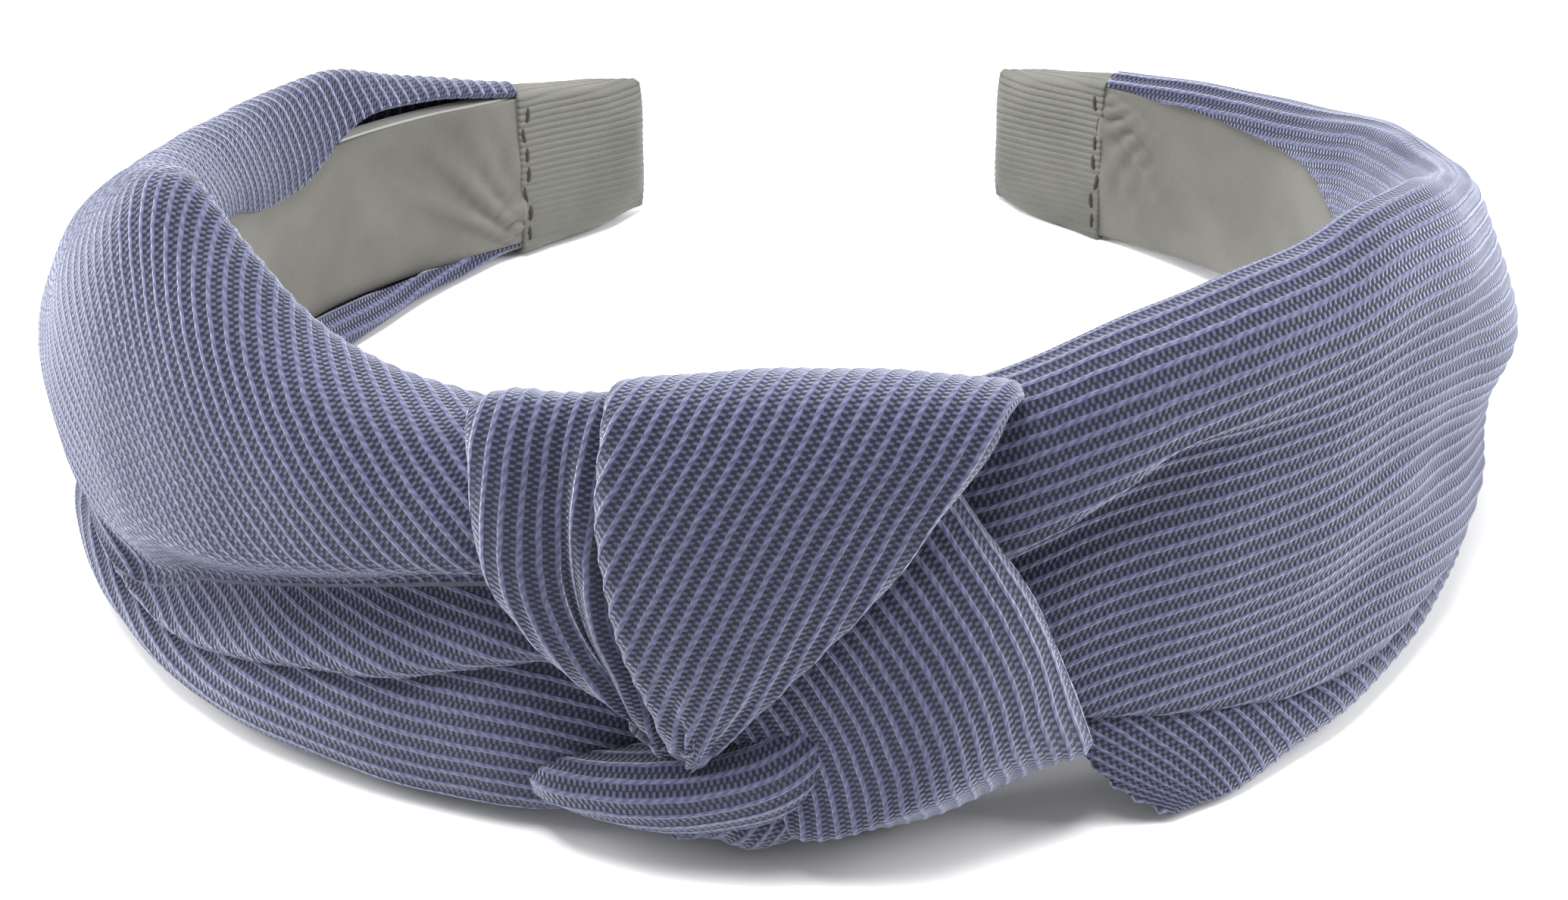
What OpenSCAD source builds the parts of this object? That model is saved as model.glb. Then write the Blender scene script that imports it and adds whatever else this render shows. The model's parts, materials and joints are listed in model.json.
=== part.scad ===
// Knotted headband, lying on its lower edges with the knot towards -Y and the two tips towards +Y.
// A flexible strip is the core. A ribbed fabric band is wrapped over its outside and tied in one knot
// at the front, a ribbon lines its inside, and a tape sleeve is sewn over each tip.
// All parts are drawn on the upright hoop, then leaned back until knot and tips touch the surface.

/* [Core strip] */
// Width of the strip, edge to edge
strip_w = 19; // [17:0.5:20]
// Thickness of the strip
strip_t = 2; // [1.6:0.1:2.2]
// Inside radius of the front of the hoop
front_r = 72; // [70:1:75]
// Inside radius of the left side
left_r = 47; // [45:1:50]
// Inside radius of the right side
right_r = 52; // [50:1:54]
// Straight length at the left tip
left_tip_len = 25; // [22:1:27]
// Straight length at the right tip
right_tip_len = 17; // [16:1:20]
// Half-width of the strip where its tip is rounded off
tip_half_w = 7; // [6:0.5:8]

/* [Lining and tip tapes] */
// Thickness of the lining ribbon
lining_t = 0.6; // [0.4:0.1:0.8]
// Margin of bare strip beside the ribbon, each side
lining_margin = 0.4; // [0.2:0.1:1]
// Length of the left tape sleeve
left_tape_len = 16; // [14:1:18]
// Length of the right tape sleeve
right_tape_len = 14; // [12:1:15]
// Thickness of the tape, with its glue
tape_t = 0.9; // [0.6:0.1:1.2]
// Number of stitches across each tape
stitches = 7; // [5:1:9]

/* [Fabric band] */
// How far the left side of the band stands out from the strip
left_bulge = 15.5; // [12:0.5:17]
// How far the right side of the band stands out from the strip
right_bulge = 10; // [8:0.5:13]
// Height of the band above the strip's middle, at its highest
band_up = 27; // [24:0.5:28]
// Depth of the band below the strip's middle, beside the knot
band_down = 22; // [20:0.5:24]

/* [Knot] */
// Distance from the hoop's inside face to the front of the knot
knot_depth = 18; // [16:0.5:20]
// Radius of the knot's front, seen from the side
knot_round = 48; // [44:1:54]

/* [Flexing] */
// Turn along the strip from the crown to each flexing line
flex_turn = 38; // [36:1:40]
// Widest opening of each arm
open_deg = 15; // [10:1:15]

/* [Hidden] */
$fn = 96;
LEFT = 0;
RIGHT = 1;
side_r = [left_r, right_r];
full_turn = [146, 144];  // turn from the crown to each straight tip
tip_len = [left_tip_len, right_tip_len];
tape_len = [left_tape_len, right_tape_len];
bulge = [left_bulge, right_bulge];
front_turn = 30;         // turn at which the front arc meets the side arcs
inside_y = -54;          // the hoop's inside face at the crown
lean = 8.2;              // lean of the hoop as it lies, tips low
rest_h = 16.2;           // height of the strip's middle above the surface, under the hoop's centre
half_w = strip_w / 2;
front_c = [0, inside_y + front_r];
tape_end_margin = 0.8;   // cloth beside the strip at the tip's end
flex_gap = 0.3;          // bare gap on each side of a flexing line
flex_wedge = open_deg / 2 + 0.8;
place_step = 2.5;        // spacing of the plan points along the strip
slack = 0.35;            // fabric stands this far off the strip and its edges
lip = 1;                 // the band's rolled edges reach this far inside the strip
knot_back = 53;          // the knot's folds start here behind the strip's edges
floor_cut = 200;         // size of the block that trims at the surface
blue = "lightslategray";
grey = "dimgray";

// Centre of a side arc
function side_c(s) = front_c + (front_r - side_r[s]) * [sin(front_turn), -cos(front_turn)];
// Length of an arc
function arc_len(r, turn) = r * turn * PI / 180;
front_len = arc_len(front_r, front_turn);
function straight_at(s) = front_len + arc_len(side_r[s], full_turn[s] - front_turn);
function tape_at(s) = straight_at(s) + tip_len[s] - tape_len[s];
// Turn of the strip's heading at a distance from the crown
function turn_at(s, d) =
  d < front_len ? d / front_len * front_turn
  : min(full_turn[s], front_turn + (d - front_len) / side_r[s] * 180 / PI);
// Point beside the strip: distance from the crown, distance out from the inside face, height
function beside(s, d, out, z) =
  let (
    t = turn_at(s, d),
    outward = [sin(t), -cos(t)],
    r = d < front_len ? front_r : side_r[s],
    c = d < front_len ? front_c : side_c(s),
    run = max(0, d - straight_at(s)),
    p = c + (r + out) * outward + run * [cos(t), sin(t)]
  )
  [s == LEFT ? -p[0] : p[0], p[1], z];
flex_at = [front_len + arc_len(left_r, flex_turn - front_turn),
           front_len + arc_len(right_r, flex_turn - front_turn)];
// How far the surface lies below the strip's middle at a place on the hoop
function surface_below(y) = (rest_h - y * sin(lean)) / cos(lean);

// The hoop as it lies, with the origin under the middle of its box
module lying() {
  low_x = -(side_c(LEFT)[0] + left_r + strip_t + left_bulge);
  high_x = side_c(RIGHT)[0] + right_r + strip_t + right_bulge;
  tip_end = beside(RIGHT, straight_at(RIGHT) + right_tip_len + tape_t, strip_t + tape_t, 0);
  low_y = (inside_y - knot_depth + knot_round) * cos(lean) - knot_round;
  high_y = tip_end[1] * cos(lean) + (tip_half_w + tape_end_margin) * sin(lean);
  translate([-(low_x + high_x) / 2, -(low_y + high_y) / 2, rest_h])
    rotate([-lean, 0, 0])
      children();
}

// Keeps what lies above the surface
module above_surface() {
  intersection() {
    children();
    rotate([lean, 0, 0])
      translate([-floor_cut, -floor_cut, -rest_h])
        cube([2 * floor_cut, 2 * floor_cut, floor_cut]);
  }
}

// Mirrors a shape drawn on the right to the side asked for
module on_side(s) {
  if (s == LEFT) mirror([1, 0, 0]) children();
  else children();
}

// Distances from one place along the strip to another, close enough together to look round
function places(from, to) =
  let (count = ceil((to - from) / place_step))
  [for (i = [0:count]) from + (to - from) * i / count];
// Reversed list
function back(list) = [for (i = [len(list) - 1:-1:0]) list[i]];
// Plan points along one side of the hoop
function side_points(s, list, out) = [for (d = list) let (p = beside(s, d, out, 0)) [p[0], p[1]]];

// Layer of the hoop across the crown, between two distances out from the inside face
module crown_layer(low, high, half_h) {
  left = places(0, flex_at[LEFT] - flex_gap);
  right = places(0, flex_at[RIGHT] - flex_gap);
  function line(out) = concat(back(side_points(LEFT, left, out)), side_points(RIGHT, right, out));
  linear_extrude(2 * half_h, center = true) polygon(concat(line(low), back(line(high))));
}

// Layer of the hoop along one arm, to a distance from the crown on its straight tip
module arm_layer(s, to, low, high, half_h) {
  all = places(flex_at[s] + flex_gap, straight_at(s) + tip_len[s]);
  list = concat([for (d = all) if (d < to - 0.5) d], [to]);
  linear_extrude(2 * half_h, center = true)
    polygon(concat(side_points(s, list, low), back(side_points(s, list, high))));
}

// Places a shape on the straight tip: +X towards the end, +Y inwards
module on_tip(s) {
  p = side_c(s) + side_r[s] * [sin(full_turn[s]), -cos(full_turn[s])];
  translate([p[0], p[1], 0]) rotate([0, 0, full_turn[s]]) children();
}

// Outline of the straight tip, narrowing to a rounded end
module tip_outline(s) {
  round_r = 3.5;
  from = tip_len[s] - tape_len[s];
  polygon(concat(
    [[0, half_w], [from, half_w]],
    [for (a = [90:-15:-90])
      [tip_len[s] - round_r + round_r * cos(a), (tip_half_w - round_r) * sign(a) + round_r * sin(a)]],
    [[from, -half_w], [0, -half_w]]
  ));
}

// A plate on the strip's straight tip, between two distances out from the inside face
module tip_plate(s, low, high) {
  on_tip(s) rotate([90, 0, 0]) translate([0, 0, low]) linear_extrude(high - low) children();
}

module core_crown() color("whitesmoke") lying() crown_layer(0, strip_t, half_w);

module core_arm(s) color("whitesmoke") lying() difference() {
  arm_layer(s, straight_at(s) + tip_len[s], 0, strip_t, half_w);
  on_side(s) tip_plate(s, -strip_t, 2 * strip_t) difference() {
    translate([tip_len[s] - tape_len[s], -strip_w]) square(2 * strip_w);
    tip_outline(s);
  }
}
module core_left_arm() core_arm(LEFT);
module core_right_arm() core_arm(RIGHT);

module lining_crown() color(grey) lying() crown_layer(-lining_t, 0, half_w - lining_margin);

module lining_arm(s) color(grey) lying() arm_layer(s, tape_at(s), -lining_t, 0, half_w - lining_margin);
module lining_left_arm() lining_arm(LEFT);
module lining_right_arm() lining_arm(RIGHT);

// A cloth sleeve with square corners over the rounded end of the strip
module tip_tape(s) {
  from = tip_len[s] - tape_len[s];
  to = tip_len[s] + tape_t;
  wide = half_w + 0.5;
  narrow = tip_half_w + tape_end_margin;
  color(grey) lying() above_surface() on_side(s) difference() {
    tip_plate(s, -tape_t, strip_t + tape_t)
      polygon([[from, wide], [to, narrow], [to, -narrow], [from, -wide]]);
    tip_plate(s, 0, strip_t) tip_outline(s);
  }
}
module left_tip_tape() tip_tape(LEFT);
module right_tip_tape() tip_tape(RIGHT);

// Seam across the tape's start: one short thread bar for each stitch
module tip_stitches(s) {
  thread = 0.4;
  long = 1.6;
  inset = 0.8;
  step = (strip_w - 2 * inset - long) / (stitches - 1);
  color("darkslategray") lying() on_side(s)
    for (i = [0:stitches - 1])
      on_tip(s)
        translate([tip_len[s] - tape_len[s] + inset, tape_t, -half_w + inset + i * step])
          cube([thread, thread, long]);
}
module left_tip_stitches() tip_stitches(LEFT);
module right_tip_stitches() tip_stitches(RIGHT);

// The band's form along each half of the hoop: [distance from the crown, value]
out_form = [[0, 0.8], [45, 0.85], [87, 1], [92, 1], [120, 0.6], [142, 0.12]];
up_form = [[0, 0.65], [22, 0.7], [45, 0.96], [60, 1], [75, 0.86], [92, 0.69], [128, 0.5], [142, 0.4]];
steps = 8;  // points across the band

function band_out(s, d) = bulge[s] * lookup(d, out_form);
function band_top(d) = max(half_w + slack + 0.4, band_up * lookup(d, up_form));
function band_bottom(s, d) =
  min(band_down, surface_below(beside(s, d, band_out(s, d), 0)[1]) - 1.1);
function across(i) = 80 - 160 * i / steps;
// Outer and inner point i of the band's section at a distance from the crown: [out, height]
function outer_at(s, d, i) =
  let (a = across(i))
  [strip_t + band_out(s, d) * pow(cos(a), 0.6), (a > 0 ? band_top(d) : band_bottom(s, d)) * sin(a)];
function inner_at(i) =
  let (edge = half_w + slack)
  [i == 0 || i == steps ? -lip : strip_t + slack, edge * max(-1, min(1, 1 - 2 * (i - 1) / (steps - 2)))];

// Solid between rings of outer points and rings of inner points
module shell(outer, inner) {
  n = len(outer[0]);
  m = len(outer);
  pts = concat([for (ring = outer) each ring], [for (ring = inner) each ring]);
  function o(k, i) = k * n + i;
  function q(k, i) = m * n + k * n + i;
  polyhedron(pts, concat(
    [for (k = [0:m - 2], i = [0:n - 2]) each
      [[o(k, i), o(k, i + 1), o(k + 1, i)], [o(k, i + 1), o(k + 1, i + 1), o(k + 1, i)]]],
    [for (k = [0:m - 2], i = [0:n - 2]) each
      [[q(k, i), q(k + 1, i), q(k, i + 1)], [q(k, i + 1), q(k + 1, i), q(k + 1, i + 1)]]],
    [for (k = [0:m - 2]) each
      [[o(k, 0), o(k + 1, 0), q(k, 0)], [o(k + 1, 0), q(k + 1, 0), q(k, 0)]]],
    [for (k = [0:m - 2]) each
      [[o(k, n - 1), q(k, n - 1), o(k + 1, n - 1)], [o(k + 1, n - 1), q(k, n - 1), q(k + 1, n - 1)]]],
    [for (i = [0:n - 2]) each
      [[o(0, i), q(0, i), o(0, i + 1)], [o(0, i + 1), q(0, i), q(0, i + 1)]]],
    [for (i = [0:n - 2]) each
      [[o(m - 1, i), o(m - 1, i + 1), q(m - 1, i)],
       [o(m - 1, i + 1), q(m - 1, i + 1), q(m - 1, i)]]]
  ));
}

// Shift along the strip that keeps a face clear of its neighbour as the arm opens
function wedge(s, out) =
  flex_gap + max(0, out - strip_t / 2) * tan(flex_wedge) * side_r[s] / (side_r[s] + out);

// Side of the band, from the flexing line to the tape
module band_side(s) {
  gaps = 12;
  function place(k, p) =
    let (
      a = flex_at[s],
      b = tape_at(s),
      d = k == 0 ? a + wedge(s, p[0]) : a + 3 + (b - a - 3) * k / gaps
    )
    beside(s, d, p[0], p[1]);
  function at(k) = flex_at[s] + (tape_at(s) - flex_at[s]) * k / gaps;
  outer = [for (k = [0:gaps]) [for (i = [0:steps]) place(k, outer_at(s, at(k), i))]];
  inner = [for (k = [0:gaps]) [for (i = [0:steps]) place(k, inner_at(i))]];
  color(blue) lying()
    if (s == LEFT) shell(inner, outer);
    else shell(outer, inner);
}
module band_left_side() band_side(LEFT);
module band_right_side() band_side(RIGHT);

// Distance along the front arc of a point at a width and a distance out
function front_at(x, out) = arc_len(front_r, asin(x / (front_r + out)));
// Edge of the knot on each side, at a height
function knot_edge(s, z) =
  s == LEFT ? (z > 3 ? 26.4 : z > -10 ? 26.4 - 0.55 * (3 - z) : 22.4)
  : 14.3 + (z > 9 ? 0.65 * (z - 9) : 0.63 * (9 - z));

// Neck of the band, from the knot to the flexing line
module band_neck(s) {
  gaps = 4;
  function place(k, p) =
    let (
      a = front_at(knot_edge(s, p[1]), p[0]),
      b = flex_at[s] - wedge(s, p[0])
    )
    beside(s, a + (b - a) * k / gaps, p[0], p[1]);
  function at(k) = 24 + (flex_at[s] - 24) * k / gaps;
  outer = [for (k = [0:gaps]) [for (i = [0:steps]) place(k, outer_at(s, at(k), i))]];
  inner = [for (k = [0:gaps]) [for (i = [0:steps]) place(k, inner_at(i))]];
  color(blue) lying()
    if (s == LEFT) shell(inner, outer);
    else shell(outer, inner);
}
module band_left_neck() band_neck(LEFT);
module band_right_neck() band_neck(RIGHT);

// Edges that neighbouring folds of the knot share: [x, height]
wrap_tip = [-8, -14];
wrap_left_edge = [[-14.2, 21], [-15.5, 10], [-14, -1], [-10, -12.5], wrap_tip];
wrap_right_edge = [wrap_tip, [-3, -10], [3, -1], [12, 9]];
lobe_left_edge = [[-3, -10], [1, -10.5], [1, -17]];
loop_under_edge = [[1, -17], [-5, -21.5], [-9, -23.5]];

// One fold of the knot: its outline from the front, rounded, and hollowed to sit over the strip
module fold(outline, set_back) {
  front = -inside_y + knot_depth - set_back;
  wide_round = 45;
  difference() {
    intersection() {
      rotate([90, 0, 0]) translate([0, 0, knot_back]) linear_extrude(front - knot_back) polygon(outline);
      translate([-wide_round, knot_round - front, 0])
        rotate([0, 90, 0]) cylinder(h = 2 * wide_round, r = knot_round);
      translate([0, wide_round - front, -wide_round]) cylinder(h = 2 * wide_round, r = wide_round);
    }
    translate([front_c[0], front_c[1], -half_w - slack])
      cylinder(h = strip_w + 2 * slack, r = front_r + strip_t);
  }
}

module knot_front_wrap() color(blue) lying()
  fold(concat([[-14, 22.5]], wrap_left_edge, wrap_right_edge, [[20.5, 21.5], [19.5, 22.5]]), 0);

module knot_left_pleat() color(blue) lying()
  fold(concat([[-26, 21]], wrap_left_edge, [[-11, -15], [-15, -9], [-20, -4], [-25, 3], [-26, 14]]), 1.5);

module knot_right_lobe() color(blue) lying() above_surface()
  fold(concat([[12, 9], [3, -1]], lobe_left_edge,
              [[1, -21], [3, -24], [9, -23], [14, -22.5], [20, -19], [27, -16], [25, -9], [21, -3],
               [16, 5]]), 1);

module knot_lower_loop() color(blue) lying() above_surface()
  fold(concat([[-22, -18], [-17, -16.5], [-11, -15], wrap_tip], lobe_left_edge, loop_under_edge,
              [[-14, -24], [-19, -22]]), 1.2);

module knot_bottom_tuck() color(blue) lying() above_surface()
  fold(concat(loop_under_edge, [[-8, -27], [1, -27], [3, -24], [1, -21]]), 2.5);

core_crown();
core_left_arm();
core_right_arm();
lining_crown();
lining_left_arm();
lining_right_arm();
knot_front_wrap();
knot_left_pleat();
knot_right_lobe();
knot_lower_loop();
knot_bottom_tuck();
band_left_neck();
band_right_neck();
band_left_side();
band_right_side();
left_tip_tape();
right_tip_tape();
left_tip_stitches();
right_tip_stitches();
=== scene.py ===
"""Knotted headband: ribbed cloth wrapped round a flexible strip and tied in one knot at the front."""
import json
import logging
import math
from dataclasses import dataclass
from enum import Enum
from typing import Sequence

import bmesh
import bpy
import numpy as np
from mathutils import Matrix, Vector


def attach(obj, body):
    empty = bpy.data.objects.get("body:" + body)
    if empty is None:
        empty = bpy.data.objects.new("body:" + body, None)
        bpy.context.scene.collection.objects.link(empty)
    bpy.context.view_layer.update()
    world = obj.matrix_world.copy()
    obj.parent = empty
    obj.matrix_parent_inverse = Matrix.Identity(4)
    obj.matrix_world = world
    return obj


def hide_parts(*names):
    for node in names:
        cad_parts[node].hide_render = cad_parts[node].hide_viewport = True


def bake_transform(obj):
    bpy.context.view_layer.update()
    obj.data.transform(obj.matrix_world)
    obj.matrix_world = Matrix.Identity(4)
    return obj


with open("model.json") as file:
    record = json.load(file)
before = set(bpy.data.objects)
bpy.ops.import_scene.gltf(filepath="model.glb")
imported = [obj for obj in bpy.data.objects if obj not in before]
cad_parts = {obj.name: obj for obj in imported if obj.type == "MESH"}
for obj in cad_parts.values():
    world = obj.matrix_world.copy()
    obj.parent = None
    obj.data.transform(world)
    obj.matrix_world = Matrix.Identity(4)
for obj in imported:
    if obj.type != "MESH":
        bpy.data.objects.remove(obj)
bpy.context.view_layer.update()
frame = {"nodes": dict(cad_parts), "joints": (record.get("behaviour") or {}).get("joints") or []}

log = logging.getLogger("headband")
MM = 0.001
WEAVE_MAP = "weave"

# Lengths are in millimetres until Hoop.lay() turns them into metres.
RIB_PITCH = 1.58
BEND_START = 30.0
CURVE_SLACK = 1.25
CORD_SHARPNESS = 1.4

# Angle in radians, width and height of each crease beside a seam.
CREASES = ((0.55, 0.08, 0.8), (0.85, 0.07, 1.0), (1.12, 0.06, 0.7), (1.36, 0.05, 0.6))

# Share of a tape sleeve's length, pinch of its edges and squeeze of its faces.
TAPE_TURNS = ((-0.03, 0, 0), (0.02, 0, 0), (0.2, 0, 0.05), (0.45, 0, 0), (0.7, 0.1, 0),
              (0.85, 0.55, 0.1), (0.95, 0.9, 0.35), (1.0, 1, 0.86))


class Side(Enum):
    """The two halves of the hoop, as seen from in front of the knot."""

    LEFT = 0
    RIGHT = 1


class Grain(Enum):
    """How the ribs of the cloth lie on a sheet."""

    ALONG = 0
    TURNED = 1
    FAN = 2


# ---------------------------------------------------------------- the hoop


def joint_of(name: str) -> dict:
    """Finds a joint of the frame by its name.

    Args:
        name: the joint's name.

    Returns:
        The joint's record.
    """
    return next(j for j in frame["joints"] if j["name"] == name)


@dataclass(frozen=True)
class Hoop:
    """The line that the strip's inside face follows, upright, in millimetres."""

    crown_y: float = -54.0
    front_r: float = 72.0
    front_turn: float = math.radians(30)
    side_r: tuple[float, float] = (47.0, 52.0)
    full_turn: tuple[float, float] = (math.radians(146), math.radians(144))
    flex_turn: float = math.radians(38)
    strip_t: float = 2.0

    @property
    def front_len(self) -> float:
        """Length of the front arc, from the crown to the side arc."""
        return self.front_r * self.front_turn

    @property
    def lean(self) -> float:
        """Lean of the hoop as it lies, read from a flexing line's axis."""
        axis = joint_of("left_arm_flex")["axis"]
        return math.atan2(abs(axis[1]), abs(axis[2]))

    def centre(self, side: Side) -> tuple[float, float]:
        """Centre of a side arc.

        Args:
            side: which half of the hoop.

        Returns:
            Its x, on the side's own positive half, and its y.
        """
        gap = self.front_r - self.side_r[side.value]
        return (gap * math.sin(self.front_turn),
                self.crown_y + self.front_r - gap * math.cos(self.front_turn))

    def straight_at(self, side: Side) -> float:
        """Distance from the crown to the start of the straight tip."""
        r = self.side_r[side.value]
        return self.front_len + r * (self.full_turn[side.value] - self.front_turn)

    def beside(self, side: Side, s: np.ndarray, out: np.ndarray, z: np.ndarray) -> np.ndarray:
        """Points beside the strip, on the upright hoop.

        Args:
            side: which half of the hoop.
            s: distance from the crown along the inside face.
            out: distance outwards from the inside face.
            z: height above the strip's middle.

        Returns:
            The points, x, y and z in the last axis.
        """
        s, out, z = np.broadcast_arrays(*(np.asarray(a, float) for a in (s, out, z)))
        r = self.side_r[side.value]
        cx, cy = self.centre(side)
        on_front = s < self.front_len
        turn = np.where(on_front, s / self.front_r, self.front_turn + (s - self.front_len) / r)
        turn = np.minimum(turn, self.full_turn[side.value])
        run = np.maximum(0.0, s - self.straight_at(side))
        reach = np.where(on_front, self.front_r, r) + out
        x = np.where(on_front, 0.0, cx) + reach * np.sin(turn) + run * np.cos(turn)
        y = np.where(on_front, self.crown_y + self.front_r, cy) - reach * np.cos(turn) + run * np.sin(turn)
        return np.stack([-x if side is Side.LEFT else x, y, z], axis=-1)

    def lay(self, points: np.ndarray) -> np.ndarray:
        """Leans upright points back as the hoop lies, in the row frame.

        Args:
            points: upright points in millimetres.

        Returns:
            The points in the row frame, in metres.
        """
        turned = self._lean(np.asarray(points, float))
        pivot = self.beside(Side.LEFT, self.flex_at(Side.LEFT), 1.0, 0.0)
        home = np.array(joint_of("left_arm_flex")["pos_m"]) / MM
        return (turned + home - self._lean(pivot)) * MM

    def _lean(self, p: np.ndarray) -> np.ndarray:
        """Turns points about X by the lean."""
        c, s = math.cos(self.lean), math.sin(self.lean)
        return np.stack([p[..., 0], p[..., 1] * c + p[..., 2] * s, p[..., 2] * c - p[..., 1] * s], axis=-1)

    def flex_at(self, side: Side) -> float:
        """Distance from the crown to a flexing line."""
        return self.front_len + self.side_r[side.value] * (self.flex_turn - self.front_turn)


HOOP = Hoop()


# ---------------------------------------------------------------- sheets of cloth


def through(knots: np.ndarray, values: np.ndarray, at: np.ndarray) -> np.ndarray:
    """Smooth curve through values, with the tangents that their neighbours give.

    Args:
        knots: where each value stands, rising.
        values: the values, one per knot along the first axis.
        at: where the curve is wanted.

    Returns:
        The curve's values, along the first axis.
    """
    slope = np.empty_like(values)
    rise = np.diff(values, axis=0)
    wide = np.diff(knots).reshape((-1,) + (1,) * (values.ndim - 1))
    steep = rise / wide
    slope[1:-1] = (steep[:-1] * wide[1:] + steep[1:] * wide[:-1]) / (wide[1:] + wide[:-1])
    slope[0], slope[-1] = steep[0], steep[-1]
    k = np.clip(np.searchsorted(knots, at, side="right") - 1, 0, len(knots) - 2)
    span = (knots[k + 1] - knots[k]).reshape((-1,) + (1,) * (values.ndim - 1))
    t = ((at - knots[k]) / (knots[k + 1] - knots[k])).reshape(span.shape)
    return ((2 * t**3 - 3 * t**2 + 1) * values[k] + (t**3 - 2 * t**2 + t) * span * slope[k]
            + (3 * t**2 - 2 * t**3) * values[k + 1] + (t**3 - t**2) * span * slope[k + 1])


def lengths(points: np.ndarray, axis: int) -> np.ndarray:
    """Length gathered along one axis of a grid of points, from zero.

    Args:
        points: the grid, with x, y and z in its last axis.
        axis: the axis that the length is gathered along.

    Returns:
        The length at each point.
    """
    step = np.linalg.norm(np.diff(points, axis=axis), axis=-1)
    total = np.cumsum(step, axis=axis)
    start = np.zeros_like(np.take(total, [0], axis=axis))
    return np.concatenate([start, total], axis=axis)


def normals(points: np.ndarray) -> np.ndarray:
    """Unit normals of a grid of points."""
    n = np.cross(np.gradient(points, axis=1), np.gradient(points, axis=0))
    return n / np.maximum(np.linalg.norm(n, axis=-1, keepdims=True), 1e-9)


def add_object(name: str, data: bpy.types.ID) -> bpy.types.Object:
    """Makes an object and puts it in the scene.

    Args:
        name: the object's name.
        data: its mesh, curve, camera or light.

    Returns:
        The new object, at the origin.
    """
    obj = bpy.data.objects.new(name, data)
    bpy.context.scene.collection.objects.link(obj)
    return obj


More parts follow.
